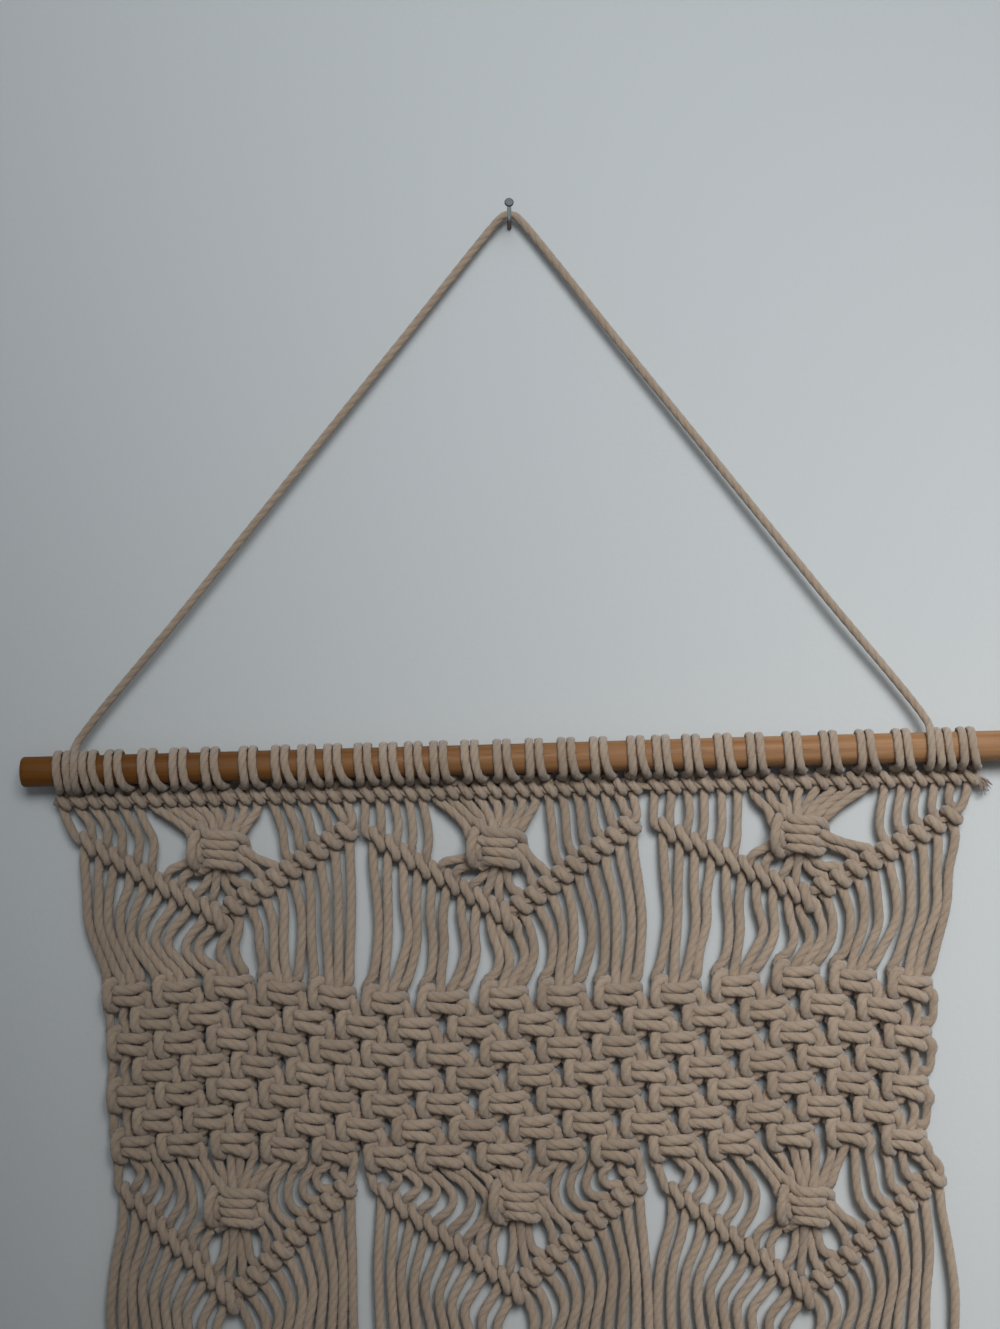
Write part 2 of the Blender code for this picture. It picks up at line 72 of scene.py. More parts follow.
(_, ROD_Y, ROD_Z), (ROD_LENGTH, _, ROD_THICK) = measured("rod")
ROD_RADIUS = ROD_THICK / 2
NET_Y = measured("heading_row")[0][1]        # the net's middle layer
ROD_OUT = NET_Y - ROD_Y      # how far the dowel's axis stands out from that layer
CORD = 3.4                   # the cord's diameter, drawn taut
SLACK = 3.85                 # the same cord lying loose
BAND = 4.6                   # the same cord crowded in the knots of the band
FREE = 4.15                  # the same cord hanging free below the arms
DRAWN = 3.5                  # the same cord drawn tight in the heading
SNUG = 3.6                   # the same cord in the loops on the dowel
BULKY = 4.5                  # the same cord in the big knots, and where two turns lie as one
DRAWN_IN = 1.08              # the net's width laid flat, over its width as it hangs
LED = 2.6                    # a leader, squeezed inside its hitches
HELD = 2.8                   # the heading's holding cord, squeezed in the same way
GROUP = 20                   # strands of one motif
STRANDS = 3 * GROUP
Point = tuple[float, float, float]
Colour = tuple[float, float, float]
Settings = dict[str, Any]


def blend(start: Any, end: Any, part: Any) -> Any:
    """The value that lies the given part of the way from start to end."""
    return start + (end - start) * part


def unit(x: float, y: float) -> np.ndarray:
    """A two-number vector of length one in that direction."""
    made = np.array((x, y), float)
    return made / np.linalg.norm(made)


def lengths_along(line: np.ndarray) -> np.ndarray:
    """The length of a line up to each of its points."""
    return np.concatenate([[0], np.cumsum(np.linalg.norm(np.diff(line, axis=0), axis=1))])


def smooth_step(share: np.ndarray) -> np.ndarray:
    """A share held between 0 and 1, with a gentle start and end."""
    held = np.clip(share, 0.0, 1.0)
    return held * held * (3.0 - 2.0 * held)


# ---------------------------------------------------------------------------------------------
# Shader maths
# ---------------------------------------------------------------------------------------------


class Sock:
    """One output socket of a shader node, on which Python's operators make nodes."""

    def __init__(self, tree: "Nodes", socket: bpy.types.NodeSocket) -> None:
        """Keeps the socket.

        Args:
            tree: the maker of nodes that the socket belongs to.
            socket: the output that this object stands for.
        """
        self.tree = tree
        self.socket = socket

    def maths(self, operation: str, *others: Any) -> "Sock":
        """A Math node on this value.

        Args:
            operation: the node's operation.
            others: its second value, if it has one, as a number or a socket.

        Returns:
            The node's output.
        """
        values = dict(enumerate((self, *others)))
        return self.tree.make("ShaderNodeMath", {"operation": operation}, values)

    def __add__(self, other: Any) -> "Sock":
        """The sum."""
        return self.maths("ADD", other)

    def __mul__(self, other: Any) -> "Sock":
        """The product."""
        return self.maths("MULTIPLY", other)

    def __sub__(self, other: Any) -> "Sock":
        """The difference."""
        return self.maths("SUBTRACT", other)

    def __rsub__(self, other: Any) -> "Sock":
        """The difference, taken from a number."""
        return (self * -1.0) + other

    __radd__ = __add__
    __rmul__ = __mul__

    def between(self, low: float, high: float) -> "Sock":
        """A smooth step from 0 at low to 1 at high.

        Args:
            low: where the step starts.
            high: where the step ends.

        Returns:
            The step's output.
        """
        return self.tree.make(
            "ShaderNodeMapRange", {"interpolation_type": "SMOOTHSTEP", "clamp": True},
            {"Value": self, "From Min": low, "From Max": high},
        )


class Nodes:
    """Makes the nodes of one material."""

    def __init__(self, name: str) -> None:
        """Starts an empty material.

        Args:
            name: the material's name.
        """
        self.material = bpy.data.materials.new(name)
        self.material.use_nodes = True
        self.material.node_tree.nodes.clear()

    def node(self, kind: str, settings: Settings | None = None,
             values: dict[Any, Any] | None = None) -> bpy.types.Node:
        """A node with its settings, then its values and links.

        Args:
            kind: the node's type.
            settings: the node's own properties.
            values: what each input gets: a number, a colour or a Sock.

        Returns:
            The node.
        """
        made = self.material.node_tree.nodes.new(kind)
        for name, value in (settings or {}).items():
            setattr(made, name, value)
        for name, value in (values or {}).items():
            if isinstance(value, Sock):
                self.material.node_tree.links.new(value.socket, made.inputs[name])
            else:
                made.inputs[name].default_value = value
        return made

    def make(self, kind: str, settings: Settings | None = None,
             values: dict[Any, Any] | None = None, output: Any = 0) -> Sock:
        """One output of a new node.

        Args:
            kind: the node's type.
            settings: the node's own properties.
            values: what each input gets.
            output: the output's name or number.

        Returns:
            The output as a Sock.
        """
        return Sock(self, self.node(kind, settings, values).outputs[output])

    def place(self) -> Sock:
        """The place on the piece, in metres."""
        return self.make("ShaderNodeTexCoord", output="Object")

    def part(self, vector: Sock, axis: str) -> Sock:
        """One of a vector's three numbers."""
        return self.make("ShaderNodeSeparateXYZ", {}, {"Vector": vector}, axis)

    def noise(self, place: Sock, scale: float, detail: float = 2.0, rough: float = 0.5) -> Sock:
        """A noise value at a place.

        Args:
            place: the coordinates.
            scale: how fine the noise is.
            detail: how many finer layers it has.
            rough: how strong those are.

        Returns:
            The noise, from 0 to 1.
        """
        return self.make(
            "ShaderNodeTexNoise", {},
            {"Vector": place, "Scale": scale, "Detail": detail, "Roughness": rough},
        )

    def stretched(self, place: Sock, scale: Sequence[float]) -> Sock:
        """The coordinates with each axis scaled.

        Args:
            place: the coordinates.
            scale: the factor on each axis.

        Returns:
            The scaled coordinates.
        """
        return self.make("ShaderNodeMapping", {}, {"Vector": place, "Scale": tuple(scale)})

    def mixed(self, factor: Sock, first: Any, second: Any, kind: str = "MIX") -> Sock:
        """Two colours mixed.

        Args:
            factor: how much of the second shows.
            first: the first colour.
            second: the second colour.
            kind: the way they mix.

        Returns:
            The mixed colour.
        """
        both = [each if isinstance(each, Sock) else (*each, 1.0) for each in (first, second)]
        return self.make(
            "ShaderNodeMix", {"data_type": "RGBA", "blend_type": kind},
            {0: factor, 6: both[0], 7: both[1]}, output=2,
        )

    def bump(self, height: Sock, distance: float) -> Sock:
        """A bump of that height, with its depth in metres."""
        return self.make("ShaderNodeBump", {}, {"Height": height, "Distance": distance})

    def surface(self, shader: Sock) -> bpy.types.Material:
        """Ends the material with that shader."""
        self.node("ShaderNodeOutputMaterial", {}, {"Surface": shader})
        return self.material

    def principled(self, constants: Settings, values: Settings) -> Sock:
        """A Principled shader.

        Args:
            constants: inputs that are the same all over.
            values: inputs that vary over the surface.

        Returns:
            The shader's output.
        """
        return self.make("ShaderNodeBsdfPrincipled", {}, {**constants, **values})


# ---------------------------------------------------------------------------------------------
# Finishes
# ---------------------------------------------------------------------------------------------


@dataclass(frozen=True)
class TwistedCotton:
    """Undyed cotton cord, whose fibres run along each ply, with painted shade in the valleys between
    the plies.
    """

    light: Colour = (0.485, 0.367, 0.268)
    dark: Colour = (0.335, 0.244, 0.17)
    fluff: Colour = (0.56, 0.45, 0.345)
    plies: float = 3.0
    relief: float = 0.00035

    def material(self) -> bpy.types.Material:
        """The cord's material, which reads the UV map "twist" and the attribute "tone".

        Returns:
            The material.
        """
        nodes = Nodes("undyed_cotton")
        twist = nodes.make("ShaderNodeUVMap", {"uv_map": "twist"}, output="UV")
        ply = (nodes.part(twist, "Y") * self.plies).maths("FRACT")
        valley = 1.0 - (ply - 0.5).maths("ABSOLUTE").between(0.02, 0.24)
        fibres = nodes.noise(nodes.stretched(twist, (160.0, 34.0, 1.0)), 1.0, 3.0, 0.6)
        yarns = nodes.noise(nodes.stretched(twist, (420.0, 90.0, 1.0)), 1.0, 2.0, 0.6)
        place = nodes.place()
        patches = nodes.noise(place, 70.0, 3.0, 0.55) * 0.5 + nodes.noise(place, 330.0, 2.0, 0.6) * 0.5
        tone = nodes.make("ShaderNodeAttribute", {"attribute_name": "tone"}, output="Fac")
        shade = (fibres * 0.5 + patches * 0.7 + tone * 0.4 - 0.3).between(0.18, 0.82)
        body = nodes.mixed(shade, self.dark, self.light)
        fluffed = nodes.mixed(yarns.between(0.55, 0.8) * 0.5, body, self.fluff)
        # painted shade: the cord is darkened towards its dark colour in the valleys between the plies
        colour = nodes.mixed(valley * 0.16, fluffed, self.dark, "MULTIPLY")
        lumps = nodes.noise(place, 520.0, 2.0, 0.6)
        height = fibres * 0.6 + yarns * 0.5 + lumps * 1.1 - valley * 0.5
        return nodes.surface(nodes.principled(
            {"Roughness": 0.92, "Specular IOR Level": 0.2, "Sheen Weight": 0.4,
             "Sheen Roughness": 0.6},
            {"Base Color": colour, "Normal": nodes.bump(height, self.relief)},
        ))


@dataclass(frozen=True)
class StainedWood:
    """Orange-brown stained dowel with a straight grain, its colour darker and more saturated towards
    its left end.
    """

    light: Colour = (0.45, 0.246, 0.117)
    dark: Colour = (0.258, 0.125, 0.054)
    pore: Colour = (0.12, 0.045, 0.018)
    left_tint: Colour = (0.43, 0.29, 0.06)
    left_tint_span: tuple[float, float] = (-0.17, 0.21)     # metres to the left over which the darker, more saturated tint fades in
    relief: float = 0.00018

    def material(self) -> bpy.types.Material:
        """The dowel's material.

        Returns:
            The material.
        """
        nodes = Nodes("stained_wood")
        place = nodes.place()
        grain = nodes.noise(nodes.stretched(place, (9.0, 420.0, 420.0)), 1.0, 4.0, 0.62)
        pores = nodes.noise(nodes.stretched(place, (60.0, 1500.0, 1500.0)), 1.0, 2.0, 0.7)
        streaks = nodes.noise(nodes.stretched(place, (3.0, 130.0, 130.0)), 1.0, 2.0, 0.5)
        worn = nodes.noise(place, 45.0, 3.0, 0.6)
        colour = nodes.mixed(
            (grain * 0.55 + streaks * 0.45).between(0.3, 0.68), self.dark, self.light
        )
        colour = nodes.mixed(pores.between(0.62, 0.74) * 0.45, colour, self.pore)
        # the colour turns darker and more saturated towards the left end
        towards_left = (nodes.part(place, "X") * -1.0).between(*self.left_tint_span)
        colour = nodes.mixed(towards_left, colour, self.left_tint, "MULTIPLY")
        height = grain * 0.5 - pores.between(0.6, 0.75) * 0.5
        return nodes.surface(nodes.principled(
            {"Specular IOR Level": 0.22},
            {"Base Color": colour, "Roughness": 0.46 + worn * 0.18,
             "Normal": nodes.bump(height, self.relief)},
        ))


@dataclass(frozen=True)
class DrawnSteel:
    """Drawn nail steel with rust specks and a darker head, and painted shade in dark brown where it
    comes out of the wall under the cord.
    """

    colour: Colour = (0.5, 0.53, 0.54)
    dark_head: Colour = (0.1, 0.115, 0.12)
    rust_and_shade: Colour = (0.07, 0.042, 0.027)
    relief: float = 0.00004

    def material(self) -> bpy.types.Material:
        """The nail's material.

        Returns:
            The material.
        """
        nodes = Nodes("nail_steel")
        place = nodes.place()
        marks = nodes.noise(nodes.stretched(place, (4000.0, 300.0, 4000.0)), 1.0, 2.0)
        specks = nodes.noise(place, 900.0, 3.0, 0.6).between(0.55, 0.75)
        out = nodes.part(place, "Y")
        head = 1.0 - out.between(-0.0214, -0.0208)
        foot = out.between(-0.012, -0.007)
        colour = nodes.mixed(specks * 0.3, self.colour, self.rust_and_shade)
        # the head is given a darker colour than the shank
        colour = nodes.mixed(head, colour, self.dark_head)
        # painted shade: the nail's foot at the wall, under the hanging cord, is darkened towards dark
        # brown
        colour = nodes.mixed(foot * 0.92, colour, self.rust_and_shade)
        return nodes.surface(nodes.principled(
            {"Metallic": 0.9},
            {"Base Color": colour, "Roughness": 0.34 + marks * 0.25,
             "Normal": nodes.bump(marks, self.relief)},
        ))


@dataclass(frozen=True)
class Paint:
    """Flat paint on the wall or the floor; a wall shows from the room's side only."""

    name: str
    colour: Colour
    one_sided: bool

    def material(self) -> bpy.types.Material:
        """The paint's material.

        Returns:
            The material.
        """
        nodes = Nodes(self.name)
        place = nodes.place()
        mottle = nodes.noise(place, 2.2, 3.0, 0.5)
        low = tuple(value * 0.97 for value in self.colour)
        grit = nodes.noise(place, 420.0, 2.0, 0.5)
        shader = nodes.principled(
            {"Roughness": 0.9, "Specular IOR Level": 0.2},
            {"Base Color": nodes.mixed(mottle, low, self.colour), "Normal": nodes.bump(grit, 0.0001)},
        )
        if self.one_sided:
            behind = nodes.make("ShaderNodeNewGeometry", output="Backfacing")
            clear = nodes.make("ShaderNodeBsdfTransparent")
            shader = nodes.make("ShaderNodeMixShader", {}, {0: behind, 1: shader, 2: clear})
        return nodes.surface(shader)


# ---------------------------------------------------------------------------------------------
# Strands
# ---------------------------------------------------------------------------------------------


class Section(Enum):
    """The pieces that the net is kept in, by name."""

    LOOPS = "rod_loops"
    HEADING = "heading_cords"
    UPPER_1 = "upper_motif_cords_1"
    UPPER_2 = "upper_motif_cords_2"
    UPPER_3 = "upper_motif_cords_3"
    BAND_TOP = "knot_band_upper_rows"
    BAND_LOW = "knot_band_lower_rows"
    LOWER_1 = "lower_motif_cords_1"
    LOWER_2 = "lower_motif_cords_2"
    LOWER_3 = "lower_motif_cords_3"
    FRINGE_1 = "fringe_cords_1"
    FRINGE_2 = "fringe_cords_2"
    FRINGE_3 = "fringe_cords_3"

    def nodes(self) -> list[str]:
        """The CAD nodes that the piece stands for.

        Returns:
            Their names.
        """
        if self is Section.LOOPS:
            return [f"cord_loop_{number:02d}" for number in range(1, STRANDS // 2 + 1)]
        others = {
            Section.HEADING: "heading_row", Section.BAND_TOP: "knot_band",
            Section.BAND_LOW: "knot_band",
        }
        return [others.get(self, self.value.replace("_cords", ""))]


UPPER = (Section.UPPER_1, Section.UPPER_2, Section.UPPER_3)
LOWER = (Section.LOWER_1, Section.LOWER_2, Section.LOWER_3)
FRINGE = (Section.FRINGE_1, Section.FRINGE_2, Section.FRINGE_3)
BAND_ROWS = (*[Section.BAND_TOP] * 4, *[Section.BAND_LOW] * 3)


@dataclass
class Strand:
    """One strand from the dowel to the fringe: points (x, depth, out), sections and diameters."""

    points: list[np.ndarray] = field(default_factory=list)
    sections: list[Section] = field(default_factory=list)
    sizes: list[float] = field(default_factory=list)
    rising: int = 0              # how many of its first points lead up to the dowel

    def add(self, section: Section, *points: Iterable[float], size: float = SLACK) -> None:
        """Adds points in that section.

        Args:
            section: the piece that the points belong to.
            points: places as (x, depth, out).
            size: the cord's diameter there.
        """
        for point in points:
            self.points.append(np.array(tuple(point), float))
            self.sections.append(section)
            self.sizes.append(size)

    def join(self, other: "Strand", backwards: bool = False) -> None:
        """Adds all of another strand.

        Args:
            other: the other strand.
            backwards: whether it is added from its end to its start.
        """
        step = -1 if backwards else 1
        self.points += other.points[::step]
        self.sections += other.sections[::step]
        self.sizes += other.sizes[::step]

    def marks(self, places: np.ndarray) -> list[Section]:
        """The piece that each place belongs to: every stretch goes with its lower point.

        Args:
            places: places along the strand, counted in points.

        Returns:
            The piece of each place.
        """
        return [self.sections[int(at) if at < self.rising else math.ceil(at)] for at in places]


@dataclass(frozen=True)
class Twist:
    """The make of the cord: three plies laid together."""

    step: float = 1.5            # distance between rings
    corners: int = 12
    plies: int = 3
    lay: float = 15.0            # length of one full turn of the plies
    dip: float = 0.075           # depth of the valley between two plies, as a share of the radius

    def profile(self) -> np.ndarray:
        """The radius of each corner of a ring, as a share of half the diameter.

        Returns:
            One number for each corner.
        """
        turn = np.arange(self.corners) / self.corners * self.plies
        from_crown = np.abs(turn - np.round(turn)) * 2
        return 1.0 - self.dip * from_crown ** 1.6


def smooth_line(points: np.ndarray, spacing: float) -> tuple[np.ndarray, np.ndarray]:
    """A smooth line through points, with its own points evenly spaced.

    Args:
        points: the places that the line goes through.
        spacing: the distance between the new points.

    Returns:
        The new points, and for each the place in the old list that it comes from.
    """
    steps = 12
    blends = (((0, 1), (1, 2), (2, 3)), ((0, 2), (1, 3)), ((1, 2),))
    padded = np.vstack([2 * points[0] - points[1], points, 2 * points[-1] - points[-2]])
    knots = np.concatenate([[0], np.cumsum(np.linalg.norm(np.diff(padded, axis=0), axis=1) ** 0.5)])
    rows, places = [], []
    for index in range(1, len(padded) - 2):
        times, near = knots[index - 1:index + 3], list(padded[index - 1:index + 3])
        now = np.linspace(times[1], times[2], steps, endpoint=False)[:, None]
        for pairs in blends:         # four points blend to three, those to two and those to one
            near = [
                (times[late] - now) / (times[late] - times[early]) * start
                + (now - times[early]) / (times[late] - times[early]) * end
                for (early, late), start, end in zip(pairs, near, near[1:])
            ]
        rows.append(near[0])
        places.append(index - 1 + np.arange(steps) / steps)
    line = np.vstack([*rows, points[-1:]])
    place = np.concatenate([*places, [len(points) - 1]])
    along = lengths_along(line)
    at = np.linspace(0, along[-1], max(2, round(along[-1] / spacing) + 1))
    even = np.stack([np.interp(at, along, line[:, axis]) for axis in range(3)], axis=1)
    return even, np.interp(at, along, place)


def to_world(points: np.ndarray) -> np.ndarray:
    """Points (x, depth, out) as world places in millimetres."""
    return np.stack([points[:, 0], NET_Y - points[:, 2], ROD_Z - points[:, 1]], axis=1)


def drawn_flat(skin: np.ndarray) -> np.ndarray:
    """Places on the loops' skin, pressed flat against the top and the front of the dowel.

    Args:
        skin: the places in millimetres.

    Returns:
        The pressed places.
    """
    start, full = -0.75, -0.25       # the height over the distance where the pressing sets in
    sunk, flatness = 0.25, 0.62
    off = skin[..., 1:] - (ROD_Y, ROD_Z)
    far = np.linalg.norm(off, axis=-1)
    share = smooth_step((off[..., 1] / far - start) / (full - start))
    near = ROD_RADIUS + (far - ROD_RADIUS + sunk) * flatness
    made = skin.copy()
    made[..., 1:] = (ROD_Y, ROD_Z) + off * (blend(far, near, share) / far)[..., None]
    return made


def ring_frames(line: np.ndarray) -> tuple[np.ndarray, np.ndarray]:
    """Two directions across a line at each point, carried along it without turning.

    Args:
        line: the line's points.

    Returns:
        The two directions at each point.
    """
    ahead = np.gradient(line, axis=0)
    ahead /= np.linalg.norm(ahead, axis=1)[:, None]
    across = np.empty_like(line)
    start = np.array((0.0, 1.0, 0.0)) if abs(ahead[0, 1]) < 0.9 else np.array((1.0, 0.0, 0.0))
    now = start - ahead[0] * (start @ ahead[0])
    for index, direction in enumerate(ahead):
        now = now - direction * (now @ direction)
        now = now / math.sqrt(now @ now)
        across[index] = now
    return across, np.cross(ahead, across)


class CordMesh:
    """Gathers swept cords and makes one mesh object of them."""

    def __init__(self, twist: Twist) -> None:
        """Starts with no cords.

        Args:
            twist: the make of the cord.
        """
        self.twist = twist
        self.places: list[np.ndarray] = []
        self.rings: list[int] = []
        self.along: list[np.ndarray] = []
        self.tones: list[float] = []

    def add(self, line: np.ndarray, across: np.ndarray, other: np.ndarray, along: np.ndarray,
            tone: float, diameter: np.ndarray) -> None:
        """Sweeps one cord.

        Args:
            line: ring centres in millimetres.
            across: one direction across the cord at each ring.
            other: the direction across it that is square to the first.
            along: the length of cord up to each ring.
            tone: how light the cord is, about 0.5.
            diameter: the cord's diameter at each ring.
        """
        corners = self.twist.corners
        angle = (
            np.arange(corners)[None, :] / corners * math.tau
            + along[:, None] / self.twist.lay * math.tau
        )
        reach = self.twist.profile()[None, :] * diameter[:, None] / 2
        self.places.append(
            line[:, None, :]
            + (np.cos(angle) * reach)[:, :, None] * across[:, None, :]
            + (np.sin(angle) * reach)[:, :, None] * other[:, None, :]
        )
        self.rings.append(len(line))
        self.along.append(along)
        self.tones.append(tone)

    def build(self, name: str, material: bpy.types.Material) -> bpy.types.Object:
        """Makes the object, in metres, with its UV map and tones.

        Args:
            name: the piece's name.
            material: its finish.

        Returns:
            The finished piece.
        """
        corners = self.twist.corners
        places = np.concatenate([rows.reshape(-1, 3) for rows in self.places]) * MM
        quads, caps, wraps, starts = [], [], [], 0
        column = np.arange(corners)
        for count in self.rings:
            ring = np.arange(count - 1)[:, None] * corners + starts
            after = (column + 1) % corners
            quads.append(np.stack([
                ring + column, ring + after, ring + after + corners, ring + column + corners,
            ], axis=2).reshape(-1, 4))
            wraps.append(np.tile(column, count - 1))
            caps.append(starts + column[::-1])
            caps.append(starts + (count - 1) * corners + column)
            starts += count * corners
        quads, wraps, caps = np.concatenate(quads), np.concatenate(wraps), np.array(caps)
        mesh = bpy.data.meshes.new(name)
        mesh.vertices.add(len(places))
        mesh.vertices.foreach_set("co", places.astype(np.float32).ravel())
        loops = np.concatenate([quads.ravel(), caps.ravel()])
        mesh.loops.add(len(loops))
        mesh.loops.foreach_set("vertex_index", loops.astype(np.int32))
        totals = np.concatenate([np.full(len(quads), 4), np.full(len(caps), corners)])
        mesh.polygons.add(len(totals))
        mesh.polygons.foreach_set(
            "loop_start", np.concatenate([[0], np.cumsum(totals)[:-1]]).astype(np.int32)
        )
        length = np.concatenate([np.repeat(rows, corners) for rows in self.along]) * MM
        round_it = np.stack([wraps, wraps + 1, wraps + 1, wraps], axis=1).ravel() / corners
        flat = np.concatenate([round_it, np.zeros(caps.size)])
        twist = mesh.uv_layers.new(name="twist")
        twist.data.foreach_set(
            "uv", np.stack([length[loops], flat], axis=1).astype(np.float32).ravel()
        )
        tone = mesh.attributes.new("tone", "FLOAT", "POINT")
        tone.data.foreach_set("value", np.concatenate([
            np.full(count * corners, value) for count, value in zip(self.rings, self.tones)
        ]).astype(np.float32))
        mesh.polygons.foreach_set("use_smooth", totals == 4)
        mesh.update(calc_edges=True)
        mesh.materials.append(material)
        made = bpy.data.objects.new(name, mesh)
        bpy.context.collection.objects.link(made)
        return made


# ---------------------------------------------------------------------------------------------
# Knots
# ---------------------------------------------------------------------------------------------


@dataclass(frozen=True)
class SquareKnot:
    """A square knot of two working cords round filler cords, as places (x, depth, out).

    The left cord lays both bars across the front, and the right cord closes it with an upright
    bump at the left; behind, the two change places.
    """

    wide: float = 1.0
    high: float = 1.0
    thick: float = 1.0
    splay: float = 0.0           # how far the bars part towards the right

    def left_cord(self) -> np.ndarray:
        """The path of the working cord that starts and ends at the left.

        Returns:
            The points.
        """
        path = np.array([
            (-7.6, -5.6, -0.8), (-6.5, -4.0, -0.6), (-5.0, -2.7, 1.0), (-3.0, -2.0, 3.0),
            (0.0, -1.8, 3.8), (2.6, -1.8, 3.4), (4.6, -1.7, 2.0), (5.6, -1.3, -0.4),
            (5.7, -0.4, -2.8), (5.6, 0.6, -2.9), (5.7, 1.7, -1.0), (4.9, 2.0, 1.4),
            (2.9, 1.9, 3.2), (0.0, 1.7, 3.8), (-3.0, 1.4, 3.1), (-5.0, 2.1, 1.1),
            (-6.6, 3.1, -0.7), (-8.2, 4.7, -0.8),
        ])
        part = np.clip((path[:, 0] + 2.0) / 7.0, 0.0, 1.0)
        path[:, 1] += self.splay * part * np.where(path[:, 1] < 0.0, -0.5, 1.0)
        return path * (self.wide, self.high, self.thick)

    def right_cord(self) -> np.ndarray:
        """The path of the other working cord, whose bump stands upright at the left.

        Returns:
            The points.
        """
        return np.array([
            (7.6, -5.6, 0.5), (6.2, -4.4, 0.0), (4.4, -3.0, -1.9), (2.0, -2.6, -3.5),
            (-1.0, -3.0, -3.6), (-3.8, -4.2, -2.2), (-5.6, -4.6, 0.3), (-6.9, -3.3, 2.4),
            (-7.3, -1.2, 3.3), (-7.3, 1.4, 3.3), (-7.0, 3.5, 2.3), (-5.8, 4.7, 0.2),
            (-3.8, 4.2, -2.2), (-1.0, 3.0, -3.6), (2.0, 1.6, -3.4), (3.9, 0.7, -1.6),
            (6.0, 1.9, 0.9), (8.6, 4.6, 1.0),
        ]) * (self.wide, self.high, self.thick)

    def filler(self, x: float, out: float = 0.0) -> np.ndarray:
        """The path of a filler cord.

        Args:
            x: its place across the knot.
            out: its place through the knot.

        Returns:
            The path.
        """
        return np.array([(x, -2.6 * self.high, out), (x, 0.0, out), (x, 2.6 * self.high, out)])


def beside(path: np.ndarray, away: float) -> np.ndarray:
    """A path that runs beside another in the plane of the net.

    Args:
        path: the first path.
        away: how far to the left of its direction the new one runs.

    Returns:
        The new path.
    """
    ahead = np.gradient(path[:, :2], axis=0)
    size = np.maximum(np.linalg.norm(ahead, axis=1), 1.2)[:, None]
    moved = path.copy()
    moved[:, :2] += np.stack([-ahead[:, 1], ahead[:, 0]], axis=1) / size * away
    return moved


@dataclass(frozen=True)
class Hitch:
    """One turn of a cord round a leader, seen as one slanting stroke on the front."""

    slant: float                 # degrees that the stroke falls to the right, from the level
    reach: float = 3.0           # from the leader's middle to the middle of the turn
    half: float = 2.7            # how far the stroke runs to each side of the leader
    rise: float = 1.0            # how far the turn stands off the leader's sides

    def path(self, place: np.ndarray, along: np.ndarray) -> np.ndarray:
        """The turn's path, from behind and above to behind and below.

        Args:
            place: the middle of the stroke as (x, depth).
            along: the leader's direction there as (x, depth), to the right.

        Returns:
            The points.
        """
        stroke = unit(math.cos(math.radians(self.slant)), math.sin(math.radians(self.slant)))
        up = np.array((along[1], -along[0]))
        run = min(self.half / max(abs(float(stroke @ up)), 0.2), 1.75 * self.half)
        top, low = -stroke * run, stroke * run
        rise = up * self.rise
        rows = (
            (top * 0.4 + rise * 3.9 + along * 1.3, -1.2),
            (low * 0.25 + rise * 0.6 + along * 1.3, -self.reach),
            (low * 0.85 - rise * 0.9 + along * 0.4, -self.reach * 0.5),
            (low * 1.05 - rise * 0.6, self.reach * 0.35),
            (low * 0.6, self.reach * 0.88),
            (top * 0.0, self.reach),
            (top * 0.6, self.reach * 0.88),
            (top * 1.05 + rise * 0.6, self.reach * 0.35),
            (top * 0.85 + rise * 0.6 - along * 0.6, -self.reach * 0.5),
            (top * 0.2 - along * 1.3, -self.reach),
            (-rise * 3.9 - along * 0.6, -1.4),
        )
        return np.array([(*(place + flat), out) for flat, out in rows])


# ---------------------------------------------------------------------------------------------
# The net
# ---------------------------------------------------------------------------------------------


@dataclass(frozen=True)
class Arm:
    """One arm of a V, on which each strand of its half makes one hitch."""

    side: int                    # -1 at the left and 1 at the right
    hitch: Hitch
    size: float                  # the cord's diameter in the hitches
    early: float                 # how far each hitch lies before its number
    spaces: float = 9.3          # the arm's length, counted in hitches

    def part(self, turn: int) -> float:
        """How far down the arm a hitch lies, 0 at the outer end and 1 at the apex."""
        return (turn - self.early) / self.spaces


LEFT_ARM = Arm(-1, Hitch(slant=48.0, reach=2.8, half=2.4, rise=0.7), SLACK, 0.5)
RIGHT_ARM = Arm(1, Hitch(slant=48.0, reach=2.8, half=2.8, rise=0.85), BULKY, 0.75)
HEADING_HITCH = Hitch(slant=33.0, reach=2.7, half=1.35, rise=0.55)
APEX_HITCH = Hitch(slant=60.0, reach=2.8, half=2.5, rise=0.85)


@dataclass(frozen=True)
class LoopGroup:
    """Neighbouring loops on the dowel with one spacing."""

    first_x: float
    count: int
    pitch: float


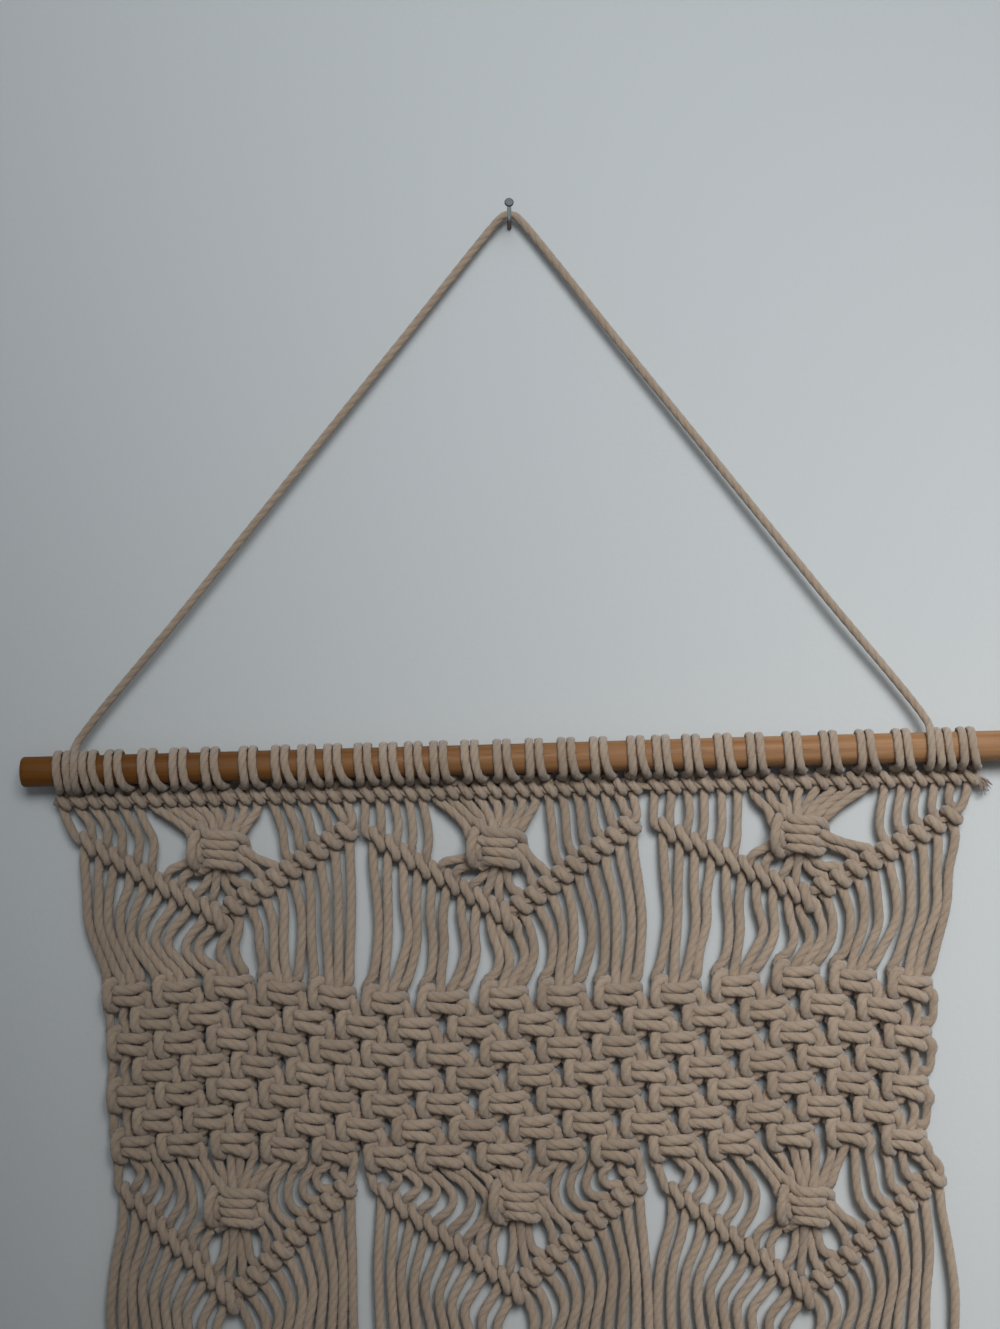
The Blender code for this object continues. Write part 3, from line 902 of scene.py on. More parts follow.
@dataclass(frozen=True)
class Motif:
    """One motif of twenty cords: its top edge, the V of its arms, its big knot and its foot."""

    top_left: float
    top_right: float
    left: tuple[float, float]
    apex: tuple[float, float]
    right: tuple[float, float]
    knot: tuple[float, float]
    outer: tuple[int, int] = (5, 5)      # cords beside the big knot, the leader among them
    swing: float = 3.0                   # how far they swing inwards before they meet the arm
    bow: float = 1.5                     # how far the strands below the arms bow outwards
    steps: tuple[float, ...] = ()        # between the strands halfway down from the arms
    inset: float = 2.6                   # from the left arm's end to the first of those strands

    def enter(self, cord: float) -> float:
        """The x of a cord at the motif's top."""
        return blend(self.top_left, self.top_right, (cord + 0.5) / GROUP)

    def lanes(self, feet: Sequence[float]) -> list[float]:
        """The x at which each strand hangs below the arms.

        Args:
            feet: the x of each strand at the motif's foot.

        Returns:
            The x of each strand, from left to right.
        """
        if not self.steps:
            return list(feet)
        first = self.left[0] + self.inset
        return [first + sum(self.steps[:place]) for place in range(len(feet))]

    def on_arm(self, side: int, part: float) -> tuple[np.ndarray, np.ndarray]:
        """A place on an arm and the arm's direction to the right.

        Args:
            side: -1 for the left arm and 1 for the right one.
            part: 0 at the arm's outer end and 1 at the apex.

        Returns:
            The place and the direction, as (x, depth).
        """
        end, apex = np.array(self.left if side < 0 else self.right), np.array(self.apex)
        return end + (apex - end) * part, unit(*((apex - end) * -side))


@dataclass
class Net:
    """The knotted net: all its strands, from the loops on the dowel to the fringe."""

    heading_depth: float = 12.4
    heading_ends: tuple[float, float] = (-187.9, 182.2)
    band_left: tuple[float, float] = (-170.0, -168.7)
    band_right: tuple[float, float] = (164.0, 158.5)
    band_top: float = 85.0
    band_low: float = 156.0
    first_row: float = 90.0
    row_pitch: float = 10.2
    knot_space: float = 20.7     # the room across in which a band knot lies at its drawn width
    entries: tuple[float, ...] = (-6.6, -2.0, 2.0, 6.6)      # of its strands, from its middle
    fringe_top: float = 250.0
    fringe_end: float = 329.0
    uneven_cut: float = 2.0      # how far the cut ends lie above or below that
    fringes: tuple[tuple[float, float], ...] = ((-173.0, -71.6), (-66.0, 46.3), (45.2, 163.4))
    strays: tuple[float, float, float] = (0.0, 0.0, 5.5)    # how far each last strand hangs off
    seed: int = 7
    strands: list[Strand] = field(default_factory=list)
    folded: list[Strand] = field(default_factory=list)
    holding: Strand = field(default_factory=Strand)
    loops: tuple[LoopGroup, ...] = (
        LoopGroup(-183.1, 3, 10.2), LoopGroup(-149.5, 3, 12.5), LoopGroup(-109.4, 2, 12.8),
        LoopGroup(-86.2, 2, 10.4), LoopGroup(-63.8, 4, 10.0), LoopGroup(-21.4, 5, 12.8),
        LoopGroup(44.6, 2, 10.0), LoopGroup(66.6, 3, 12.6), LoopGroup(106.6, 4, 14.5),
        LoopGroup(166.4, 2, 9.5),
    )
    upper: tuple[Motif, ...] = (
        Motif(-187.2, -67.6, (-178.0, 28.0), (-123.0, 60.0), (-70.5, 26.5), (-122.5, 33.0),
              (6, 6), 2.2, 1.5, (4.2, 3.9, 4.6, 4.2, 4.8, 5.2, 4.6, 7.2, 4.4, 8.0, 5.6, 11.0, 5.2,
                                 4.0, 7.6, 3.8, 6.0, 5.2, 5.6)),
        Motif(-65.6, 46.6, (-62.0, 29.0), (-8.0, 63.0), (43.0, 27.0), (-11.5, 35.0),
              (5, 7), 2.6, 1.5, (3.8, 8.0, 3.6, 6.4, 4.2, 9.4, 4.2, 8.8, 4.6, 4.0, 4.2, 7.6, 4.2,
                                 4.2, 7.2, 5.4, 5.2, 5.6, 4.4)),
        Motif(49.6, 181.4, (53.5, 29.0), (112.0, 58.5), (172.0, 26.5), (109.5, 33.0),
              (6, 6), 2.4, 1.5, (4.0, 7.6, 3.8, 10.0, 3.8, 9.4, 5.2, 7.0, 6.4, 4.4, 3.8, 7.0, 5.6,
                                 5.6, 7.4, 4.8, 6.2, 4.8, 4.6)),
    )
    lower: tuple[Motif, ...] = (
        Motif(-168.5, -76.0, (-164.5, 168.0), (-122.0, 213.0), (-75.0, 169.0), (-119.5, 175.5),
              (6, 6), 6.5, 7.0),
        Motif(-61.0, 41.0, (-62.5, 171.0), (-8.0, 212.0), (41.5, 171.0), (-6.5, 176.0),
              (7, 6), 8.5, 7.0),
        Motif(53.5, 157.0, (54.0, 174.0), (108.0, 217.0), (161.0, 171.0), (108.0, 181.0),
              (6, 6), 6.5, 7.0),
    )
    crowding: tuple[tuple[float, float], ...] = (
        (0.0, 0.0), (0.07, -3.5), (0.2, -6.0), (0.33, -9.2), (0.4, -10.4), (0.5, -6.4),
        (0.66, -5.2), (0.87, -0.3), (1.0, 0.0),
    )
    sagging: tuple[tuple[float, float], ...] = (
        (-165.0, 0.0), (-120.0, -1.7), (-92.0, 1.8), (-60.0, 6.0), (-30.0, 6.4), (10.0, 5.2),
        (57.0, 5.2), (84.0, 3.2), (108.0, 0.6), (128.0, 1.6), (155.0, 5.2),
    )

    def __post_init__(self) -> None:
        """Starts the random numbers and the strands."""
        self.random = np.random.default_rng(self.seed)
        self.strands = [Strand() for _ in range(STRANDS)]
        self.folded = list(self.strands)

    def wander(self, size: float) -> float:
        """A small random number, of that usual size."""
        return float(np.clip(self.random.normal(), -2, 2)) * size

    def loop_xs(self) -> list[float]:
        """The x of each loop on the dowel."""
        return [
            group.first_x + group.pitch * index
            for group in self.loops for index in range(group.count)
        ]

    def half_loop(self, x: float, side: int) -> list[Point]:
        """One strand's half of a larks-head loop, from the bight behind to the heading.

        Args:
            x: the loop's middle.
            side: -1 for its left strand and 1 for its right one.

        Returns:
            The points (x, depth, out).
        """
        rows = ((0.0, 8.2, -8.2), (2.6, 8.3, -7.6), (3.7, 8.2, -4.6), (3.0, 7.9, 0.0),
                (2.2, 5.5, 5.6), (1.95, 0.0, 7.8), (1.9, -5.5, 5.6), (1.9, -7.8, 0.0),
                (1.9, -5.5, -5.5), (1.9, 0.0, -7.8), (1.8, 5.3, -5.7), (1.8, 8.0, -4.6))
        lean = 1.5 + self.wander(0.45)
        return [
            (x + side * across + lean * max(depth - 1.0, 0.0) / 7.0, depth, out + ROD_OUT)
            for across, depth, out in rows
        ]

    def tie(self, strand: Strand, turns: np.ndarray, section: Section, after: Section,
            size: float) -> None:
        """Adds a hitch, with the seam between two pieces hidden behind it.

        Args:
            strand: the strand.
            turns: the hitch's points.
            section: the piece that the hitch belongs to.
            after: the piece that its strand goes on in.
            size: the cord's diameter in the hitch.
        """
        strand.add(section, *turns[:-1], size=size)
        strand.add(after, turns[-1], size=size)

    def heading(self) -> None:
        """Each strand's turn round the holding cord."""
        for cord, strand in enumerate(self.strands):
            number = cord // GROUP
            x = self.upper[number].enter(cord % GROUP)
            place = np.array((x + self.wander(0.25), self.heading_depth + self.wander(0.15)))
            turns = HEADING_HITCH.path(place, unit(1.0, 0.0))[1:]
            self.tie(strand, turns, Section.HEADING, UPPER[number], DRAWN)
        self.holding.add(Section.HEADING, *[
            (x, self.heading_depth + 0.2 * math.sin(x / 17), 0.0)
            for x in np.linspace(*self.heading_ends, 24)
        ], size=HELD)

    def motif(self, motif: Motif, first: int, feet: Sequence[float], foot: float,
              section: Section, after: Section) -> None:
        """Lays the twenty strands of one motif.

        Args:
            motif: its sizes.
            first: the number of its first strand.
            feet: the x of each strand at the motif's foot.
            foot: the depth of its foot.
            section: the piece that it belongs to.
            after: the piece that its strands go on in.
        """
        cords = self.strands[first:first + GROUP]
        half = GROUP // 2
        knotted = cords[motif.outer[0]:GROUP - motif.outer[1]]
        self.big_knot(knotted, motif, section)
        for arm, outer, beside_knot in ((LEFT_ARM, cords, motif.outer[0]),
                                        (RIGHT_ARM, cords[::-1], motif.outer[1])):
            for turn in range(1, half):
                strand = outer[turn]
                place, along = motif.on_arm(arm.side, arm.part(turn))
                place = place + np.array((self.wander(0.25), self.wander(0.25)))
                if turn < beside_knot:
                    self.outer_cord(strand, motif, arm.side, turn, place, section)
                else:
                    self.inner_cord(strand, turn < beside_knot + 2, place, section)
                self.tie(strand, arm.hitch.path(place, along), section, after, arm.size)
            self.leader(motif, arm.side, outer[0], (section, after))
        order = [*range(1, half), GROUP - 1, 0, *range(half, GROUP - 1)]
        lanes = motif.lanes(feet)
        for number, cord in enumerate(order):
            off_middle = number - (GROUP - 1) / 2
            inner = abs(off_middle)
            bow = motif.bow * min(1.0, 0.6 + 0.15 * inner) * (1.0 - (inner / half) ** 2)
            self.below(cords[cord], math.copysign(bow, off_middle),
                       (lanes[number], feet[number]), foot, after)
        self.strands[first:first + GROUP] = [cords[cord] for cord in order]

    def outer_cord(self, strand: Strand, motif: Motif, side: int, turn: int, place: np.ndarray,
                   section: Section) -> None:
        """Leads a strand from the motif's top past the big knot to its place on the arm.

        Args:
            strand: the strand.
            motif: the motif.
            side: -1 at the left and 1 at the right.
            turn: its number from the outside.
            place: its place on the arm as (x, depth).
            section: the piece that it belongs to.
        """
        x, top, _ = strand.points[-1]
        fall = place[1] - top
        swing = side * motif.swing * (0.75 + 0.1 * turn) * min(1.0, fall / 20.0)
        strand.add(
            section,
            (blend(x, place[0] - swing, 0.5) + self.wander(0.3), top + 0.25 * fall, 0.1),
            (place[0] - swing + self.wander(0.3), top + 0.5 * fall, 0.3 + self.wander(0.4)),
            (place[0] - 0.9 * swing, top + 0.7 * fall, self.wander(0.4)),
            (place[0] - 0.5 * swing, place[1] - 0.14 * fall - 1.2, 0.0),
        )

    @staticmethod
    def inner_cord(strand: Strand, working: bool, place: np.ndarray, section: Section) -> None:
        """Leads a strand from the big knot to its place on the arm.

        Args:
            strand: the strand.
            working: whether it leaves the knot at its side rather than below it.
            place: its place on the arm as (x, depth).
            section: the piece that it belongs to.
        """
        x, depth, out = strand.points[-1]
        over, first, second = (
            (4.0, (0.4, 0.3, out * 0.3), (0.85, 0.75, -0.2)) if working
            else (3.0, (0.1, 0.4, out * 0.3), (0.45, 0.85, -0.3))
        )
        strand.add(section, *[
            (blend(x, place[0], aside), blend(depth, place[1] - over, down), stands)
            for aside, down, stands in (first, second)
        ])

    def below(self, strand: Strand, away: float, xs: tuple[float, float], foot: float,
              section: Section) -> None:
        """Leads a strand from its arm down to the motif's foot.

        Args:
            strand: the strand.
            away: how far it bows outwards, to the right if positive.
            xs: where it hangs below the arms and where it meets the foot.
            foot: the foot's depth.
            section: the piece that it belongs to.
        """
        start = strand.points[-1]
        far = foot - start[1]
        lane, end = xs
        strand.add(
            section,
            (start[0] + 0.5 * away + self.wander(0.2), start[1] + 0.1 * far + 0.8, -0.5),
            (blend(start[0], lane, 0.6) + away + self.wander(0.3), start[1] + 0.32 * far, -0.2),
            (lane + 0.5 * away + self.wander(0.3), start[1] + 0.58 * far, self.wander(0.5)),
            (blend(lane, end, 0.55) + self.wander(0.3), start[1] + 0.86 * far, self.wander(0.3)),
            size=FREE,
        )

    def leader(self, motif: Motif, side: int, strand: Strand,
               sections: tuple[Section, Section]) -> None:
        """Leads the outermost strand down and along the arm, to the apex.

        Args:
            motif: the motif.
            side: -1 for the left arm and 1 for the right one.
            strand: the strand that leads.
            sections: the piece that it belongs to and the one that it goes on in.
        """
        section, after = sections
        x, top, _ = strand.points[-1]
        start, _ = motif.on_arm(side, -0.02)
        strand.add(
            section, (blend(x, start[0], 0.3) + side * 0.5, blend(top, start[1], 0.35), 0.1),
            (blend(x, start[0], 0.75) + side * 1.0, blend(top, start[1], 0.7), 0.3),
            (start[0] + side * 1.0, start[1] - 0.8, 0.2),
        )
        for part in (0.08, 0.3, 0.5, 0.7, 0.88):
            place, _ = motif.on_arm(side, part)
            strand.add(section, (*place, -0.3), size=LED)
        apex = np.array(motif.apex)
        if side < 0:
            strand.add(section, (*apex, 0.0))
            strand.add(after, (apex[0] + 2.8, apex[1] + 3.4, -0.4))
        else:
            closing = APEX_HITCH.path(apex + (-0.6, 0.6), unit(0.86, 0.5))
            self.tie(strand, closing, section, after, BULKY)

    def big_knot(self, cords: list[Strand], motif: Motif, section: Section) -> None:
        """The big square knot of doubled working cords round its fillers.

        Args:
            cords: its strands, from left to right.
            motif: the motif that it belongs to.
            section: the piece that it belongs to.
        """
        place = np.array(motif.knot)
        bars = SquareKnot(wide=1.3, high=1.75, thick=1.5, splay=0.5)
        wrap = SquareKnot(wide=1.3, high=1.35, thick=1.5)
        middle = np.array((place[0], place[1], 1.0))
        last = len(cords) - 1
        paths: dict[int, np.ndarray] = {
            0: beside(bars.left_cord(), 1.6)[1:-1],
            1: beside(bars.left_cord(), -1.6)[1:-1],
            last - 1: (wrap.right_cord() * (0.78, 0.82, 0.55))[1:-1],
            last: wrap.right_cord()[1:-1],
        }
        for index in range(2, last - 1):
            x = (index - last / 2) * 1.6
            paths[index] = wrap.filler(x, 1.0 if index % 2 else -1.0)
        for index, strand in enumerate(cords):
            x, top, _ = strand.points[-1]
            spread = index - last / 2
            strand.add(
                section, (blend(x, place[0] + spread * 5.2, 0.45), top + 3.0, -0.3),
                (blend(x, place[0] + spread * 3.3, 0.75), blend(top, place[1] - 7.0, 0.66), 0.2),
            )
            strand.add(section, *(paths[index] + middle), size=BULKY)

    def across(self, cord: float, depth: float) -> float:
        """The x of a place in the band.

        Args:
            cord: the place, counted in cords from the band's left edge.
            depth: the depth in the band.

        Returns:
            Its x.
        """
        part = (depth - self.band_top) / (self.band_low - self.band_top)
        left, right = blend(*self.band_left, part), blend(*self.band_right, part)
        even = blend(left, right, cord / STRANDS)
        return even + float(np.interp(cord / STRANDS, *zip(*self.crowding)))

    def over_knot(self, cord: int) -> float:
        """The x at which a strand comes down to the first row of the band.

        Args:
            cord: the strand's number.

        Returns:
            Its x.
        """
        first = cord // 4 * 4
        middle = (self.across(first, self.band_top) + self.across(first + 4, self.band_top)) / 2
        return middle + self.entries[cord % 4] + self.wander(0.3)

    def sag(self, x: float) -> float:
        """How far the band's rows hang down at an x."""
        return float(np.interp(x, *zip(*self.sagging)))

    def band(self) -> None:
        """Seven rows of square knots, every other row moved by half a knot."""
        for row, section in enumerate(BAND_ROWS):
            offset = 2 * (row % 2)
            for first in range(offset, STRANDS - offset, 4):
                self.small_knot(first, row, section)
            if offset:
                for cord in (0, 1, STRANDS - 2, STRANDS - 1):
                    self.edge_cord(cord, self.first_row + row * self.row_pitch, section)

    def edge_cord(self, cord: int, depth: float, section: Section) -> None:
        """Leads a strand past the band's edge, where its row has no knot for it.

        Args:
            cord: the strand's number.
            depth: the row's depth.
            section: the piece that it belongs to.
        """
        side = -1 if cord < 2 else 1
        x = self.across(cord + 0.5, depth) - side * 0.4
        here = depth + self.sag(x)
        bulge = side * (1.3 + self.wander(0.3))
        self.strands[cord].add(
            section, (x + bulge * 0.6, here - 3.5, self.wander(0.4)),
            (x + bulge, here, self.wander(0.4)),
            (x + bulge * 0.6, here + 3.5, self.wander(0.4)),
        )

    def small_knot(self, first: int, row: int, section: Section) -> None:
        """One square knot of the band.

        Args:
            first: the number of its first strand.
            row: the number of its row.
            section: the piece that it belongs to.
        """
        depth = self.first_row + row * self.row_pitch
        left, right = self.across(first, depth), self.across(first + 4, depth)
        x = (left + right) / 2
        knot = SquareKnot(
            wide=(right - left) / self.knot_space * (1.0 + self.wander(0.03)),
            high=0.98 + self.wander(0.03), thick=1.12, splay=1.5 + self.wander(0.3),
        )
        middle = np.array((x + self.wander(0.35), depth + self.sag(x) + self.wander(0.35),
                           self.wander(0.2)))
        slope = (self.sag(right) - self.sag(left)) / (right - left)
        last = row == len(BAND_ROWS) - 1
        trim = slice(1 if row == 0 else None, -1 if last else None)
        paths = (knot.left_cord(), knot.filler(-1.8), knot.filler(1.8), knot.right_cord())
        for number, path in enumerate(paths, start=first):
            path[:, 1] += path[:, 0] * slope
            points = path[trim] + middle
            half = len(points) // 2
            upper = int(np.argmin(points[:half + 1, 2])) + 1
            lower = half + int(np.argmin(points[half:, 2])) + 1
            above = UPPER[number // GROUP] if row == 0 else BAND_ROWS[row - 1]
            under = LOWER[number // GROUP] if last else section
            strand = self.strands[number]
            strand.add(above, *points[:upper], size=BAND)
            strand.add(section, *points[upper:lower], size=BAND)
            strand.add(under, *points[lower:], size=BAND)

    def fringe(self) -> None:
        """The strands below the lower motifs, down to their cut ends."""
        for number in range(3):
            for place, x in enumerate(self.fringe_feet(number)):
                strand = self.strands[number * GROUP + place]
                end = self.fringe_end + self.uneven_cut * math.sin(2.4 * place + number)
                strand.add(FRINGE[number], *[
                    (x + self.wander(0.5), depth, self.wander(0.5))
                    for depth in (self.fringe_top, 275.0, 300.0, end)
                ], size=FREE)

    def fringe_feet(self, number: int) -> list[float]:
        """The x of each strand in one fringe.

        Args:
            number: the fringe's number, counted from 0 at the left.

        Returns:
            The x of each, from left to right.
        """
        left, right = self.fringes[number]
        feet = [blend(left, right, (place + 0.5) / GROUP) for place in range(GROUP)]
        feet[-1] += self.strays[number]
        return feet

    def lay(self) -> None:
        """Lays every strand, from the dowel down."""
        self.heading()
        for number, motif in enumerate(self.upper):
            feet = [self.over_knot(number * GROUP + place) for place in range(GROUP)]
            foot = self.band_top + self.sag(feet[GROUP // 2 - 1])
            self.motif(motif, number * GROUP, feet, foot, UPPER[number], UPPER[number])
        self.band()
        for number, motif in enumerate(self.lower):
            self.motif(motif, number * GROUP, self.fringe_feet(number), self.fringe_top,
                       LOWER[number], FRINGE[number])
        self.fringe()

    def cords(self) -> list[Strand]:
        """The thirty folded cords and the holding cord, each as one strand from end to end.

        Returns:
            The strands, with the holding cord last.
        """
        made = []
        for number, x in enumerate(self.loop_xs()):
            left, right = self.folded[2 * number], self.folded[2 * number + 1]
            whole = Strand(rising=len(left.points))
            whole.join(left, backwards=True)
            whole.add(
                Section.LOOPS, *self.half_loop(x, -1)[::-1], *self.half_loop(x, 1)[1:], size=SNUG
            )
            whole.join(right)
            made.append(whole)
        return [*made, self.holding]


@dataclass
class Pressing:
    """Presses lines of cord apart, off the dowel and off the wall, as tight knots press them."""

    squeeze: float = 0.84        # how near two cords' middles come, as a share of their diameter
    rounds: int = 30
    listed_every: int = 5
    listed_reach: float = 4.2
    own_reach: int = 5           # points of one cord this near in the list don't press each other
    smooth: float = 0.12
    hold: float = 0.03
    least: float = 0.2           # the distance below which two middles count as this far apart
    crowd: float = 0.6           # how much less each of several pushes on one point counts
    sink: float = 0.3            # how far a cord may sink into the dowel and the wall

    def pairs(self, points: np.ndarray, owner: np.ndarray) -> tuple[np.ndarray, np.ndarray]:
        """The pairs of points that may press each other.

        Args:
            points: all points of all cords.
            owner: the number of each point's cord.

        Returns:
            The two indices of each pair.
        """
        cell = np.floor((points - points.min(0)) / self.listed_reach).astype(np.int64) + 1
        size = cell.max(0) + 2
        key = (cell[:, 0] * size[1] + cell[:, 1]) * size[2] + cell[:, 2]
        order = np.argsort(key, kind="stable")
        keys, starts, counts = np.unique(key[order], return_index=True, return_counts=True)
        first, second = [], []
        steps = [
            (a * size[1] + b) * size[2] + c
            for a in (-1, 0, 1) for b in (-1, 0, 1) for c in (-1, 0, 1)
        ]
        for step in steps:
            if step < 0:
                continue
            found = np.minimum(np.searchsorted(keys, key + step), len(keys) - 1)
            there = keys[found] == key + step
            who = np.nonzero(there)[0]
            many = counts[found[who]]
            one = np.repeat(who, many)
            place = np.arange(many.sum()) - np.repeat(np.cumsum(many) - many, many)
            two = order[np.repeat(starts[found[who]], many) + place]
            keep = two > one if step == 0 else np.ones(len(one), bool)
            first.append(one[keep])
            second.append(two[keep])
        one, two = np.concatenate(first), np.concatenate(second)
        near = np.linalg.norm(points[one] - points[two], axis=1) < self.listed_reach
        near &= (owner[one] != owner[two]) | (np.abs(one - two) > self.own_reach)
        return one[near], two[near]

    def press(self, lines: list[np.ndarray], sizes: list[np.ndarray],
              fixed: int) -> list[np.ndarray]:
        """Presses the lines apart.

        Args:
            lines: each cord's points in millimetres.
            sizes: the cord's diameter at each of them.
            fixed: how many of the last lines stay where they are.

        Returns:
            The pressed lines.
        """
        counts = [len(line) for line in lines]
        points, thick = np.concatenate(lines), np.concatenate(sizes)
        home = points.copy()
        owner = np.repeat(np.arange(len(lines)), counts)
        free = (owner < len(lines) - fixed).astype(float)[:, None]
        inner = np.ones(len(points), bool)
        ends = np.cumsum(counts)
        inner[ends - 1] = False
        inner[ends - counts] = False
        inner = np.nonzero(inner)[0]
        for turn in range(self.rounds):
            if turn % self.listed_every == 0:
                one, two = self.pairs(points, owner)
                apart = (thick[one] + thick[two]) / 2 * self.squeeze
            gap = points[one] - points[two]
            far = np.maximum(np.linalg.norm(gap, axis=1), self.least)
            push = np.maximum(apart - far, 0.0) * 0.5
            move = gap / far[:, None] * push[:, None]
            total = np.stack([
                np.bincount(one, way, len(points)) - np.bincount(two, way, len(points))
                for way in move.T
            ], axis=1)
            touching = (push > 0).astype(float)
            count = np.bincount(one, touching, len(points)) + np.bincount(two, touching, len(points))
            points = points + free * total / np.maximum(count, 1.0)[:, None] ** self.crowd
            bend = np.zeros_like(points)
            bend[inner] = (points[inner - 1] + points[inner + 1]) / 2 - points[inner]
            points = points + free * (self.smooth * bend + self.hold * (home - points))
            self.clear(points, free[:, 0] > 0, thick / 2 - self.sink)
        return np.split(points, ends[:-1])

    @staticmethod
    def clear(points: np.ndarray, free: np.ndarray, half: np.ndarray) -> None:
        """Moves points off the dowel and off the wall.

        Args:
            points: all points, which are changed.
            free: whether each point may move.
            half: how far each point stays from them.
        """
        off = points[:, 1:] - (ROD_Y, ROD_Z)
        far = np.maximum(np.linalg.norm(off, axis=1), 0.1)
        inside = (far < ROD_RADIUS + half) & free
        scale = ((ROD_RADIUS + half) / far)[inside, None]
        points[inside, 1:] = off[inside] * scale + (ROD_Y, ROD_Z)
        behind = (points[:, 1] > -half) & free
        points[behind, 1] = -half[behind]


# ---------------------------------------------------------------------------------------------
# Dowel, nail and hanging cord
# ---------------------------------------------------------------------------------------------


def finished(shape: bmesh.types.BMesh, name: str, material: bpy.types.Material,
             crease: float = 40.0) -> bpy.types.Object:
    """Turns a bmesh in metres into a finished object.

    Args:
        shape: the shape, which is freed.
        name: the piece's name.
        material: its finish.
        crease: edges sharper than this many degrees stay sharp.

    Returns:
        The object.
    """
    bmesh.ops.recalc_face_normals(shape, faces=shape.faces)
    mesh = bpy.data.meshes.new(name)
    shape.to_mesh(mesh)
    shape.free()
    mesh.shade_smooth()
    mesh.set_sharp_from_angle(angle=math.radians(crease))
    mesh.materials.append(material)
    made = bpy.data.objects.new(name, mesh)
    bpy.context.collection.objects.link(made)
    return made


@dataclass
class Dowel:
    """The stained dowel, sawn off square and rubbed at the ends."""

    length: float = ROD_LENGTH
    edge: float = 1.5
    sides: int = 64
    cuts: int = 60
    bow: float = 0.125           # how far it bends up and down
    bow_length: float = 95.0     # the length, over one radian, of that bend
    ripples: tuple[tuple[float, int, float], ...] = ((0.05, 3, 31.0), (0.04, 2, -53.0))

    def unevenness(self, x: float, turn: float) -> float:
        """How far the wood stands out at a place, from ripples of a height, a count and a length."""
        return sum(high * math.sin(count * turn + x / long) for high, count, long in self.ripples)

    def build(self, material: bpy.types.Material) -> bpy.types.Object:
        """Makes the dowel.

        Args:
            material: its finish.

        Returns:
            The piece.
        """
        shape = bmesh.new()
        bmesh.ops.create_cone(
            shape, cap_ends=True, cap_tris=False, segments=self.sides, radius1=ROD_RADIUS * MM,
            radius2=ROD_RADIUS * MM, depth=self.length * MM,
        )
        rims = [edge for edge in shape.edges if abs(edge.verts[0].co.z - edge.verts[1].co.z) < 1e-6]
        bmesh.ops.bevel(
            shape, geom=rims, offset=self.edge * MM, offset_type="OFFSET", segments=3, profile=0.5,
            affect="EDGES", material=-1, clamp_overlap=True,
        )
        long = [edge for edge in shape.edges if edge.calc_length() > self.length * MM * 0.9]
        bmesh.ops.subdivide_edges(shape, edges=long, cuts=self.cuts, use_grid_fill=True)
        bmesh.ops.rotate(
            shape, verts=shape.verts, cent=(0, 0, 0), matrix=Matrix.Rotation(math.radians(90), 3, "Y")
        )
        for vertex in shape.verts:
            x = vertex.co.x / MM
            fuller = 1 + self.unevenness(x, math.atan2(vertex.co.z, vertex.co.y)) / ROD_RADIUS
            vertex.co.y *= fuller
            vertex.co.z *= fuller
            vertex.co.z += self.bow * MM * math.sin(x / self.bow_length)
        bmesh.ops.translate(shape, verts=shape.verts, vec=(0, ROD_Y * MM, ROD_Z * MM))
        return finished(shape, "dowel", material)


@dataclass
class WallNail:
    """The nail, driven upwards into the wall, with its small flat head."""

    length: float = 24.0
    tilt: float = 15.0
    radius: float = 0.9
    head: float = 1.8
    sides: int = 32

    def build(self, material: bpy.types.Material) -> bpy.types.Object:
        """Makes the nail.

        Args:
            material: its finish.

        Returns:
            The piece.
        """
        profile = (
            (0.0, self.length), (self.head - 0.35, self.length - 0.02),
            (self.head, self.length - 0.3), (self.head, self.length - 0.8),
            (self.head - 0.2, self.length - 1.05), (self.radius + 0.15, self.length - 1.4),
            (self.radius, self.length - 1.9), (self.radius - 0.05, self.length - 2.6),
            (self.radius, self.length - 3.2), (self.radius - 0.05, self.length - 3.8),
            (self.radius, self.length - 4.6), (self.radius, 4.0), (self.radius, -3.0), (0.0, -3.0),
        )
        shape = bmesh.new()
        corners = [shape.verts.new((across * MM, 0, up * MM)) for across, up in profile]
        for one, other in zip(corners, corners[1:]):
            shape.edges.new((one, other))
        bmesh.ops.spin(
            shape, geom=shape.verts[:] + shape.edges[:], cent=(0, 0, 0), axis=(0, 0, 1),
            angle=math.tau, steps=self.sides, use_merge=True,
        )
        bmesh.ops.remove_doubles(shape, verts=shape.verts, dist=1e-6)
        bmesh.ops.rotate(
            shape, verts=shape.verts, cent=(0, 0, 0),
            matrix=Matrix.Rotation(math.radians(90 - self.tilt), 3, "X"),
        )
        cut = bmesh.ops.bisect_plane(
            shape, geom=shape.verts[:] + shape.edges[:] + shape.faces[:],
            plane_co=(0, 0, 0), plane_no=(0, 1, 0), clear_outer=True,
        )
        rim = [part for part in cut["geom_cut"] if isinstance(part, bmesh.types.BMEdge)]
        bmesh.ops.contextual_create(shape, geom=rim)
        return finished(shape, "wall_nail", material, 35.0)


